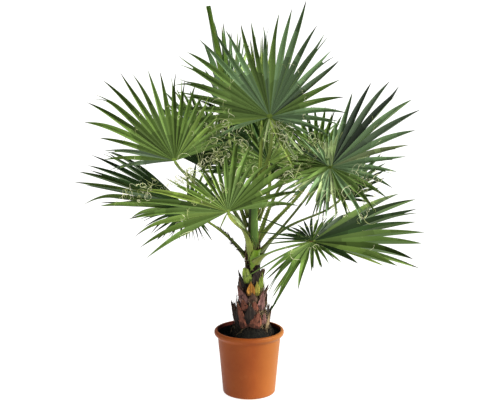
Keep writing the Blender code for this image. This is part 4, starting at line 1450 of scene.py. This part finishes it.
@dataclass
class Stalk:
    """One frond's stalk: channelled above, round beneath, with brown thorny margins."""

    frond: Frond
    shaft: CrownShaft
    rings: int = 44
    points: int = 20
    tip_width: float = 0.0124
    tip_depth: float = 0.0084
    spread: float = 1.4
    standoff: float = 0.012
    short: float = 0.004  # how far before the hub it ends
    thorn_spacing: float = 0.0125
    thorn_length: float = 0.0085
    thorny: tuple[float, float] = (0.14, 0.93)  # between these shares of its length it has thorns
    hairs: int = 130
    hairy: float = 0.55  # the share of its length that the ragged fibre covers
    hair_points: int = 5
    tint: Colour = (1.06, 0.96, 0.78)  # how a stalk's colour differs from its blade's

    def ends(self) -> tuple[Array, ...]:
        """Where the stalk starts and ends.

        Returns:
            Its start, the way out of the shaft there, the way it sets off, its end and the way it arrives.
        """
        height, direction, rise = self.frond.foot
        out, rise = bearing(math.radians(direction)), math.radians(rise)
        climb = out * math.cos(rise) + UP * math.sin(rise)
        if height is None:
            start, out = self.shaft.centre(self.shaft.top), UP
        else:
            start = self.shaft.centre(height) + out * self.shaft.radius(height)
        arrive = self.frond.heading(np.array(0.0))
        return start, out, climb, np.array(self.frond.hub) - arrive * self.short, arrive

    def rail(self) -> Rail:
        """Runs the stalk's middle line from the shaft to the blade.

        Returns:
            The line with its directions and sizes.
        """
        start, out, climb, end, arrive = self.ends()
        first = start + climb * self.frond.arch[0] + out * self.standoff
        second = end - arrive * self.frond.arch[1]
        t = np.linspace(0, 1, self.rings)[:, None]
        s = 1 - t
        points = start * s**3 + first * 3 * s * s * t + second * 3 * s * t * t + end * t**3
        slopes = unit((first - start) * s * s + (second - first) * 2 * s * t + (end - second) * t * t)
        to_right = -self.frond.axes()[1]
        across_foot = np.cross(out, UP) if self.frond.foot[0] is not None else to_right
        across = across_foot * s + to_right * t
        across = unit(across - slopes * np.sum(across * slopes, axis=1, keepdims=True))
        spread = self.spread * self.frond.stout
        along, flare = between((spread, 1), t[:, 0]), s[:, 0] ** 3
        width = self.tip_width * along + (self.frond.foot_size[0] - self.tip_width * spread) * flare
        depth = self.tip_depth * along + (self.frond.foot_size[1] - self.tip_depth * spread) * flare**2
        return Rail(points, slopes, across, width, depth)

    def hair(self, draft: Draft, rail: Rail) -> None:
        """Clothes the upper margin of the stalk's lower half in black ragged fibre.

        Args:
            draft: The piece that it joins.
            rail: The stalk's middle line.
        """
        rng = random.Random(self.frond.seed + 500)
        for _ in range(self.hairs):
            at = rng.randrange(2, int(self.rings * self.hairy))
            side = rail.across[at] * (1 if rail.across[at][2] > 0 else -1)
            start = rail.points[at] + side * rail.width[at] * rng.uniform(0.25, 0.5)
            way = unit(rail.slopes[at] * rng.uniform(0.3, 1) + side * rng.uniform(0.3, 1) + scatter(rng, 0.3))
            reach = np.linspace(0, rng.uniform(0.012, 0.030), self.hair_points)[:, None]
            radii = np.linspace(1, 0.3, self.hair_points) * rng.uniform(0.0008, 0.0016)
            draft.add_tube(tube_along(start + way * reach - UP * reach**2 * 12, radii, 4), 2)

    def thorns(self, draft: Draft, rail: Rail) -> None:
        """Sets hooked thorns along both margins.

        Args:
            draft: The piece that they join.
            rail: The stalk's middle line.
        """
        rng = random.Random(self.frond.seed + 100)
        steps = np.linalg.norm(np.diff(rail.points, axis=0), axis=1)
        travelled = np.concatenate([[0], np.cumsum(steps)])
        whole = travelled[-1]
        for hand in (-1, 1):
            place = whole * self.thorny[0] + rng.uniform(0, self.thorn_spacing)
            while place < whole * self.thorny[1]:
                spot, slope, side = (np.array([np.interp(place, travelled, row[:, axis]) for axis in range(3)])
                                     for row in (rail.points, rail.slopes, rail.across))
                length = self.thorn_length * (1 - 0.5 * place / whole) * rng.uniform(0.7, 1.25)
                way, hook = side * hand, slope * rng.choice((-1, 1)) * 0.45
                base = spot + way * (np.interp(place, travelled, rail.width) / 2 - 0.001)
                along, up = slope * length * 0.32, np.cross(slope, side) * 0.0011
                corners = np.array((along, up, -along, -up))
                rings = np.array((base + corners, base + (way * 0.55 + hook * 0.2) * length + corners * 0.5,
                                  base + (way + hook) * length + corners * 0.04))
                draft.add_tube(rings[:, ::hand], 2)
                place += self.thorn_spacing * rng.uniform(0.7, 1.4) * (1 + 0.4 * place / whole)

    def build(self) -> None:
        """Builds the stalk with its thorns and dresses it."""
        rail = self.rail()
        through = np.cross(rail.across, rail.slopes)
        turns = np.linspace(0, TURN, self.points, endpoint=False)[:, None]
        flat, tall = np.cos(turns), np.sin(turns)
        channelled = np.where(tall > 1e-6, 0.52 * tall - 0.62 * tall**4, tall)
        sideways = rail.across[:, None] * rail.width[:, None, None] / 2 * flat
        draft = Draft()
        upwards = through[:, None] * rail.depth[:, None, None] / 2 * channelled
        draft.add_tube(rail.points[:, None] + sideways + upwards, 0, (2, 2))
        # the round underside takes a darker copy of the stalk's finish: painted shade
        for index in range(len(draft.faces) - 2):
            side = index % self.points
            if side in (0, self.points // 2 - 1):
                draft.finish_of[index] = 1
            elif side >= self.points // 2:
                draft.finish_of[index] = 3
        self.thorns(draft, rail)
        if self.frond.ragged:
            self.hair(draft, rail)
        tone = self.frond.stalk
        base = tuple(channel * tint for channel, tint in zip(shade(*tone.value), self.tint))
        name = f"stalk_{tone.name.lower()}"
        # the last is a darker copy of the stalk's finish for its underside: painted shade
        finishes = [StalkFinish(name, scaled(base, 0.66), scaled(base, 1.0)).make(),
                    PlainFinish("stalk_margin", shade(70, 48, 28), 0.6).make(),
                    PlainFinish("thorn", shade(38, 25, 17), 0.4).make(),
                    StalkFinish(f"{name}_under", scaled(base, 0.45), scaled(base, 0.75)).make()]
        settle(draft.piece(f"petiole_{self.frond.name}", finishes, 50), "stalk", f"stalk_{self.frond.name}")


@dataclass
class Leaflet:
    """The middle surface of one leaflet, and what its dressing needs to know."""

    rows: Array  # stations by places across by x, y, z
    outs: Array  # how far out each station is, from 0 to 1
    tone: LeafTone
    fork_row: int  # the station where its tip forks
    bare: tuple[int, int] = (0, 0)  # the stations from which its right and left edges are free


@dataclass
class Fan:
    """One frond's blade, by the same rule as its solid, with each leaflet folded, ribbed, tapered and drooping."""

    frond: Frond
    joined: int = 9
    free: int = 15
    bands: tuple[float, ...] = (0.05, 0.22, 0.42, 0.62, 0.82, 0.95, 1.0)
    inner_radius: float = 0.003
    split: float = 0.46
    splits: tuple[float, float] = (0.94, 1.04)
    lengths: tuple[float, float] = (0.95, 1.02)
    loose_sag: float = 0.03
    fold: float = 0.44  # the height of a pleat over half its width, in the joined part
    free_fold: float = 0.30  # how much more folded a leaflet is past its split
    tip_fold: float = 0.25  # how much more folded still it is at its tip
    facing: float = 0.8  # how far a deeply split leaflet turns its face to the front
    thickness: float = 0.0008
    twist: float = 0.5  # how far a leaflet may roll about its rib
    bend: float = 1.3  # the spread, in degrees, of how far a leaflet's tip turns aside
    droops: tuple[float, float, float] = (0.02, 0.08, 0.08)  # the most of any leaflet; how much and how often more
    tapers: tuple[float, float] = (0.80, 1.0)
    tip_width: float = 0.02
    forked_share: float = 0.35
    forks: tuple[float, float] = (0.45, 0.72)  # how far past its split a leaflet forks
    fork_spread: tuple[float, float] = (1.2, 2.6)
    fork_open: float = 0.6  # how far past its split a forked leaflet's sheet parts
    parting: float = 0.14  # how much narrower than its sector a deeply split leaflet is
    blunt_width: float = 0.62
    stray_rows: int = 16
    stray_arch: float = 0.06
    stray_swell: float = 1.4
    tips_from: tuple[float, float] = (0.90, 0.99)  # between these shares of a leaflet its tip's colour starts
    dry_share: float = 0.12
    fades_from: tuple[float, float] = (0.55, 0.85)  # and here it starts to be a shade darker
    ribs_from: tuple[float, ...] = (0.12, 0.30, 0.50, 0.50, 2.0)  # and here its bright rib; past 1 it has none
    painted_shades_to: tuple[float, float] = (0.24, 0.66)  # and here the painted shade of the fan's centre ends
    flaps: tuple = ((1, 0.022, 0.0055, 0.0015), (-1, 0.050, 0.005, 0.0045))  # its side, length, width and lift
    flap_rings: int = 7
    flap_sides: int = 10
    thread_steps: int = 20
    thread_length: tuple[float, float] = (0.03, 0.10)
    thread_radius: tuple[float, float] = (0.0007, 0.0012)
    thread_curls: tuple[float, ...] = (0.12, 0.25, 0.45)
    curl_length: tuple[float, float] = (0.05, 0.14)
    curl_curls: tuple[float, ...] = (0.15, 0.30, 0.45, 0.60)

    # the painted light and shade of a leaflet's right and left halves, as light falls on the two sides of its fold
    painted_half_shades = ((2, 1), (1, 2), (3, 1), (1, 3), (3, 2), (2, 3), (2, 2), (3, 2), (2, 3), (2, 1))

    def __post_init__(self) -> None:
        """Works out the leaflets' edges and the draws of the rule."""
        rng = random.Random(self.frond.seed)
        first, last = (math.radians(self.frond.outline[k][0]) for k in (0, -1))
        self.cuts = self.frond.cuts or ((0.0, self.split),)
        self.pitch = (last - first) / self.frond.leaflets
        self.edges = [first + self.pitch * k for k in range(self.frond.leaflets + 1)]
        self.edge_splits = [read_off(self.cuts, math.degrees(angle)) * float(self.frond.length(angle))
                            * rng.uniform(*self.splits) for angle in self.edges]
        self.draws = [(rng.uniform(*self.lengths), rng.uniform(0, self.loose_sag))
                      for _ in range(self.frond.leaflets)]
        self.across = np.array([-band for band in self.bands[::-1]] + list(self.bands))
        self.rng = random.Random(self.frond.seed + 200)
        used = {tone for _, *tones in self.frond.tones for tone in tones}
        used |= {tone for _, tone, _ in self.frond.strays}
        self.tones = sorted(used | {self.frond.accent}, key=lambda tone: tone.name)
        self.parts = list(LeafPart)

    def tone_at(self, angle: float) -> LeafTone:
        """One of the greens that leaflets at an angle come in."""
        found = [tones for start, *tones in self.frond.tones if math.degrees(angle) >= start][-1]
        return self.rng.choice(found)

    def finishes(self) -> list[Material]:
        """The blade's materials: the shades of each tone, then the parts."""
        made = [finish for tone in self.tones for finish in tone.finishes()]
        return made + [part.finish() for part in self.parts]

    def part_index(self, part: LeafPart) -> int:
        """Where a part's material is in the blade's list."""
        return len(LEAF_PAINTED_LIGHT_LEVELS) * len(self.tones) + self.parts.index(part)

    def turn_to_front(self, angle: float) -> float:
        """How far a leaflet rolls about its rib to face the front.

        Args:
            angle: Where the leaflet is in the blade.

        Returns:
            The roll in radians.
        """
        way = self.frond.heading(np.array(angle))
        face = self.frond.axes()[2]
        left = unit(np.cross(face, way))
        front = -BACK * 0.9 + UP * 0.3
        front = unit(front - way * way.dot(front))
        flip = 1 if face.dot(front) >= 0 else -1
        return self.facing * math.atan2(-flip * left.dot(front), abs(face.dot(front)))

    def leaflet_surface(self, index: int, forked: bool) -> tuple[Array, Array]:
        """The middle surface of one leaflet.

        Args:
            index: Its place in the blade, from the right.
            forked: Whether its tip is split along the rib.

        Returns:
            Points, stations by places across, and how far out each station is from 0 to 1.
        """
        frond, rng, across = self.frond, self.rng, self.across
        angle = (self.edges[index] + self.edges[index + 1]) / 2
        reach = float(frond.length(angle))
        draw, loose = self.draws[index]
        length, share = reach * draw, read_off(self.cuts, math.degrees(angle))
        edge_split = np.where(across < 0, self.edge_splits[index], self.edge_splits[index + 1])
        split = between((share * reach, edge_split), np.abs(across))
        half_angle, pleat = self.pitch / 2, 2 * np.abs(across) - 1
        rows, outs = [], []
        for k in range(self.joined + 1):
            t = (k / self.joined) ** 1.3
            radius = between((self.inner_radius, split), t)
            lift = self.fold * radius * math.tan(half_angle) * pleat
            rows.append(frond.point(angle + across * half_angle, radius, lift))
            outs.append(t * share)
        twist, bend = rng.uniform(-self.twist, self.twist), math.radians(rng.gauss(0, self.bend))
        blunt = frond.blunt is not None and abs(math.degrees(angle) - frond.blunt) < math.degrees(half_angle)
        droop = rng.uniform(0.0, self.droops[0]) + self.droops[1] * (rng.random() < self.droops[2] and not blunt)
        taper = rng.uniform(*self.tapers)
        turned = self.turn_to_front(angle) if share < self.split * 0.9 else 0.0
        fork_from, fork_wide = rng.uniform(*self.forks), math.radians(rng.uniform(*self.fork_spread))
        for k in range(1, self.free + 1):
            u = k / self.free
            radius = between((split, length), u)
            widest = np.maximum(split, self.split * reach)
            v = np.clip((radius - widest) / (length - widest), 0, 1)
            narrow = 1 - self.parting * np.minimum((radius - split) / (0.1 * reach), 1) * (widest > split * 1.1)
            least = self.blunt_width if blunt else self.tip_width
            half = (np.minimum(radius, widest) * math.tan(half_angle)
                    * np.maximum((1 - v) ** taper * (1 + 0.35 * v), least) * narrow)
            folded = self.fold + self.free_fold * min(u / 0.3, 1.0) + self.tip_fold * u
            x, y = across * half, folded * half * pleat
            roll = twist * u * u + turned * min(u / 0.3, 1.0)
            x, y = x * math.cos(roll) - y * math.sin(roll), x * math.sin(roll) + y * math.cos(roll)
            swing = bend * u * u
            if forked and u > fork_from:
                swing = swing + np.sign(across) * fork_wide * ((u - fork_from) / (1 - fork_from)) ** 1.3
            sag = loose * length * u * u + droop * length * max((u - 0.45) / 0.55, 0) ** 2
            rows.append(frond.point(angle + swing + np.arctan(x / radius), radius, y) - UP * sag)
            outs.append(between((share, 1), u))
        return np.array(rows), np.array(outs)

    def leaflet(self, index: int) -> Leaflet:
        """One leaflet of the blade.

        Args:
            index: Its place in the blade, from the right.

        Returns:
            The leaflet, ready to be skinned.
        """
        forked = self.rng.random() < self.forked_share and self.frond.blunt is None
        rows, outs = self.leaflet_surface(index, forked)
        tone = self.tone_at((self.edges[index] + self.edges[index + 1]) / 2)
        if self.rng.random() < self.frond.accent_share:
            tone = self.frond.accent
        fork_row = self.joined + int(self.free * self.fork_open) + 1 if forked else len(rows)
        bare = tuple(0 if index == end else self.joined for end in (0, self.frond.leaflets - 1))
        return Leaflet(rows, outs, tone, fork_row, bare)

    def stray(self, tip: Colour, tone: LeafTone, width: float) -> Leaflet:
        """One leaflet that hangs apart from the blade, from the hub to a tip of its own.

        Args:
            tip: Where it ends.
            tone: Its green.
            width: Its width.

        Returns:
            The leaflet, ready to be skinned.
        """
        hub, t = np.array(self.frond.hub), np.linspace(0, 1, self.stray_rows)[:, None]
        reach = np.array(tip) - hub
        way, face = unit(reach), self.frond.axes()[2] * 0.5 - BACK * 0.8 + UP * 0.3
        lift = unit(face - way * way.dot(face))
        side = np.cross(lift, way)
        arch = self.stray_arch * np.linalg.norm(reach) * np.sin(math.pi * t**0.8)
        spine = hub + reach * t + lift * arch
        half = self.stray_swell * width / 2 * np.minimum(t / 0.25, 1) ** 0.7 * np.maximum((1 - t) ** 0.5, 0.03)
        rows = (spine[:, None] + side * (half * self.across)[:, :, None]
                + lift * (0.5 * half * (2 * np.abs(self.across) - 1))[:, :, None])
        return Leaflet(rows, t[:, 0], tone, len(rows))

    def skin(self, draft: Draft, leaf: Leaflet) -> None:
        """Makes a leaflet's surface a thin closed sheet, its ribs and tip in their own colours, and painted light
        and shade on its halves, one margin and the part near the hub.

        Args:
            draft: The piece that it joins.
            leaf: The leaflet.
        """
        rng = self.rng
        stations, places = leaf.rows.shape[:2]
        middle = (places - 1) // 2
        lift = self.frond.axes()[2] * (self.thickness * (1 - 0.5 * leaf.outs) / 2)[:, None, None]
        top, bottom = draft.add_points(leaf.rows + lift), draft.add_points(leaf.rows - lift)
        shades = len(LEAF_PAINTED_LIGHT_LEVELS)
        own_tone = self.tones.index(leaf.tone) * shades
        pair = rng.choice(self.painted_half_shades)
        # one margin of the leaflet gets a painted highlight
        painted_highlight_edge = rng.choice((0, places - 2))
        underside_painted_shade = self.part_index(rng.choice((LeafPart.UNDER, LeafPart.UNDER_DEEP)))
        tip_from, dry = rng.uniform(*self.tips_from), rng.random() < self.dry_share
        fade_from = rng.uniform(*self.fades_from)
        rib_from, painted_shade_to = rng.choice(self.ribs_from), rng.uniform(*self.painted_shades_to) * (leaf.bare[0] > 0)
        for row in range(stations - 1):
            out = leaf.outs[row]
            for place in range(places - 1):
                if place == middle and row >= leaf.fork_row:
                    continue
                # painted light and shade on the halves, and the painted highlight on one margin
                level = pair[place > middle] - (out > fade_from) + (place == painted_highlight_edge)
                if out < self.split:
                    level = min(max(level, 1), 2)
                # painted shade of the fan's centre, where the pleats shade each other: deeper by the rib, and
                # darkest on the pale greens
                level -= (out < painted_shade_to) + (out < 0.55 * painted_shade_to * (1 + (place > middle) * 0.4))
                if out < 0.5 * painted_shade_to and leaf.tone in (LeafTone.LIME, LeafTone.PALE):
                    level = 0
                if row < 1:
                    finish = self.part_index(LeafPart.HUB)
                elif place == middle and out > rib_from:
                    finish = self.part_index(LeafPart.RIB)
                elif out > tip_from:
                    finish = self.part_index(LeafPart.DRY if dry else LeafPart.TIP)
                else:
                    finish = own_tone + min(max(level, 0), shades - 1)
                a = row * places + place
                ring = (a, a + 1, a + 1 + places, a + places)
                draft.add_face(tuple(top + k for k in ring), finish)
                draft.add_face(tuple(bottom + k for k in ring[::-1]), underside_painted_shade)
        self.rims(draft, leaf, (top, bottom), own_tone)

    def rims(self, draft: Draft, leaf: Leaflet, sheets: tuple[int, int], finish: int) -> None:
        """Closes a leaflet's free edges.

        Args:
            draft: The piece that it joins.
            leaf: The leaflet.
            sheets: The first points of its upper and lower sheets.
            finish: The finish of the rim.
        """
        top, bottom = sheets
        stations, places = leaf.rows.shape[:2]
        middle = (places - 1) // 2
        for row in range(stations - 1):
            edges = [(0, leaf.bare[0], -1), (places - 1, leaf.bare[1], 1), (middle, leaf.fork_row, 1),
                     (middle + 1, leaf.fork_row, -1)]
            for place, first, turn in edges:
                if row >= first:
                    a, b = (row * places + place, (row + 1) * places + place)[::turn]
                    draft.add_face((top + a, bottom + a, bottom + b, top + b), finish)
        end = (stations - 1) * places
        for place in range(places - 1):
            if place == middle and leaf.fork_row < stations:
                continue
            a, b = end + place + 1, end + place
            draft.add_face((top + a, bottom + a, bottom + b, top + b), finish)

    def hub(self, draft: Draft) -> None:
        """Adds the hub: a small pointed flap on the upper face and the stalk's tongue under it.

        Args:
            draft: The piece that it joins.
        """
        _, left, face = self.frond.axes()
        heading = self.frond.heading(np.array(0.0))
        turns = np.linspace(0, TURN, self.flap_sides, endpoint=False)[:, None]
        finish = self.part_index(LeafPart.KNOT if self.frond.knot else LeafPart.HUB)
        for side, length, wide, lift in self.flaps:
            rings = []
            for t in np.linspace(0, 1, self.flap_rings):
                off = face * side * lift * (1 - 0.4 * t)
                spot = np.array(self.frond.hub) + heading * (-0.012 + length * t) + off
                size = wide * (1 - t) ** 0.7 + 0.0003
                rings.append(spot + left * size * np.cos(turns) + face * size * 0.35 * np.sin(turns))
            draft.add_tube(np.array(rings)[:, ::-1], finish)

    def thread(self, draft: Draft, rng: random.Random, start: Array, length: float, curl: float) -> None:
        """Adds one curly thread.

        Args:
            draft: The piece that it joins.
            rng: The source of its shape.
            start: Where it starts.
            length: How long it is.
            curl: How far it turns at each step, in radians.
        """
        way = unit(start - np.array(self.frond.hub)) + scatter(rng, 0.6)
        axis = unit(scatter(rng, 1))
        path = [start]
        for _ in range(self.thread_steps):
            way = way * math.cos(curl) + np.cross(axis, way) * math.sin(curl)
            way = unit(unit(way) - UP * 0.10 + scatter(rng, 0.05))
            path.append(path[-1] + way * length / self.thread_steps)
        radii = np.linspace(1, 0.4, len(path)) * rng.uniform(*self.thread_radius)
        draft.add_tube(tube_along(np.array(path), radii), rng.choice((0, 1)))

    def threads(self) -> Piece | None:
        """Hangs the curly threads from the splits, and the loose ones among the leaflets.

        Returns:
            The piece, or nothing where the frond has no threads.
        """
        frond, rng = self.frond, random.Random(self.frond.seed + 300)
        draft = Draft()
        lift = np.array(0.002)
        for angle, split in zip(self.edges, self.edge_splits):
            for _ in range(int(frond.threads) + (rng.random() < frond.threads % 1)):
                start = frond.point(np.array(angle), np.array(split * rng.uniform(0.9, 1.2)), lift)
                self.thread(draft, rng, start, rng.uniform(*self.thread_length),
                            rng.choice(self.thread_curls) * rng.choice((-1, 1)))
        for first, last, near, far, count in frond.curls:
            for _ in range(count):
                angle = np.array(math.radians(rng.uniform(first, last)))
                start = frond.point(angle, frond.length(angle) * rng.uniform(near, far), lift)
                self.thread(draft, rng, start, rng.uniform(*self.curl_length),
                            rng.choice(self.curl_curls) * rng.choice((-1, 1)))
        if not draft.count:
            return None
        finishes = [PlainFinish("thread_cream", shade(228, 228, 186), 0.8, 0.2).make(),
                    PlainFinish("thread_olive", shade(168, 176, 116), 0.8, 0.2).make()]
        return draft.piece(f"threads_{frond.name}", finishes, 80)

    def build(self) -> None:
        """Builds the blade and its threads."""
        draft = Draft()
        for index in range(self.frond.leaflets):
            self.skin(draft, self.leaflet(index))
        for stray in self.frond.strays:
            self.skin(draft, self.stray(*stray))
        self.hub(draft)
        settle(draft.piece(f"fan_{self.frond.name}", self.finishes(), 28), "frond", f"frond_{self.frond.name}")
        threads = self.threads()
        if threads:
            settle(threads, "frond")


@dataclass
class Studio:
    """The pale floor, the soft lights and the camera."""

    camera_at: Colour = (0.004, -5.0, 1.82)
    camera_pitch: float = -10.87
    focal_pixels: float = 1188
    image_width: float = 500
    sensor_width: float = 36
    floor_size: float = 400
    floor: Colour = (0.22, 0.22, 0.22)
    glow: float = 0.95  # how brightly the floor itself shines, as a light table does
    room: float = 0.38
    room_colour: Colour = (0.97, 0.99, 1)
    sun: float = 6.2
    sun_from: Colour = (0.74, -0.26, 0.64)
    sun_spread: float = 45
    sun_colour: Colour = (1, 0.98, 0.94)

    def light(self) -> None:
        """Sets the even light of the room and one broad soft light from the right."""
        world = bpy.data.worlds.new("soft_room")
        world.use_nodes = True
        nodes, links = world.node_tree.nodes, world.node_tree.links
        walls = nodes["Background"]
        walls.inputs["Color"].default_value = (1, 1, 1, 1)
        walls.inputs["Strength"].default_value = 1.0
        dim = nodes.new("ShaderNodeBackground")
        dim.inputs["Color"].default_value = (*self.room_colour, 1)
        dim.inputs["Strength"].default_value = self.room
        ray, choice = nodes.new("ShaderNodeLightPath"), nodes.new("ShaderNodeMixShader")
        links.new(ray.outputs["Is Camera Ray"], choice.inputs["Fac"])
        links.new(dim.outputs["Background"], choice.inputs[1])
        links.new(walls.outputs["Background"], choice.inputs[2])
        links.new(choice.outputs["Shader"], nodes["World Output"].inputs["Surface"])
        bpy.context.scene.world = world
        data = bpy.data.lights.new("broad_light", "SUN")
        data.energy, data.angle, data.color = self.sun, math.radians(self.sun_spread), self.sun_colour
        lamp = bpy.data.objects.new("broad_light", data)
        lamp.rotation_euler = (-Vector(self.sun_from)).to_track_quat("-Z", "Y").to_euler()
        bpy.context.scene.collection.objects.link(lamp)

    def build(self) -> None:
        """Lays the floor, lights the palm and sets up the camera."""
        scene = bpy.context.scene
        half = self.floor_size / 2
        draft = Draft()
        first = draft.add_points([(-half, -half, 0), (half, -half, 0), (half, half, 0), (-half, half, 0)])
        draft.add_face((first, first + 1, first + 2, first + 3))
        pale = PlainFinish("pale_floor", self.floor, 0.9, 0.1).make()
        surface = pale.node_tree.nodes["Principled BSDF"].inputs
        surface["Emission Color"].default_value = (1, 1, 1, 1)
        surface["Emission Strength"].default_value = self.glow
        floor = draft.piece("floor", [pale], None)
        self.light()
        camera = bpy.data.cameras.new("camera")
        camera.sensor_width = self.sensor_width
        camera.lens = self.focal_pixels * camera.sensor_width / self.image_width
        seen = bpy.data.objects.new("camera", camera)
        seen.location = self.camera_at
        seen.rotation_euler = (math.radians(90 + self.camera_pitch), 0, 0)
        scene.collection.objects.link(seen)
        scene.camera = seen
        scene.view_settings.view_transform = "Standard"


def main() -> None:
    """Dresses the palm from the pot up, then sets the studio."""
    logging.basicConfig(level=logging.INFO, format="%(name)s: %(message)s")
    Pot().build()
    Soil().build()
    Trunk().build()
    shaft = CrownShaft()
    shaft.build()
    for frond in FRONDS:
        Stalk(frond, shaft).build()
        Fan(frond).build()
    Studio().build()


if __name__ == "__main__":
    main()
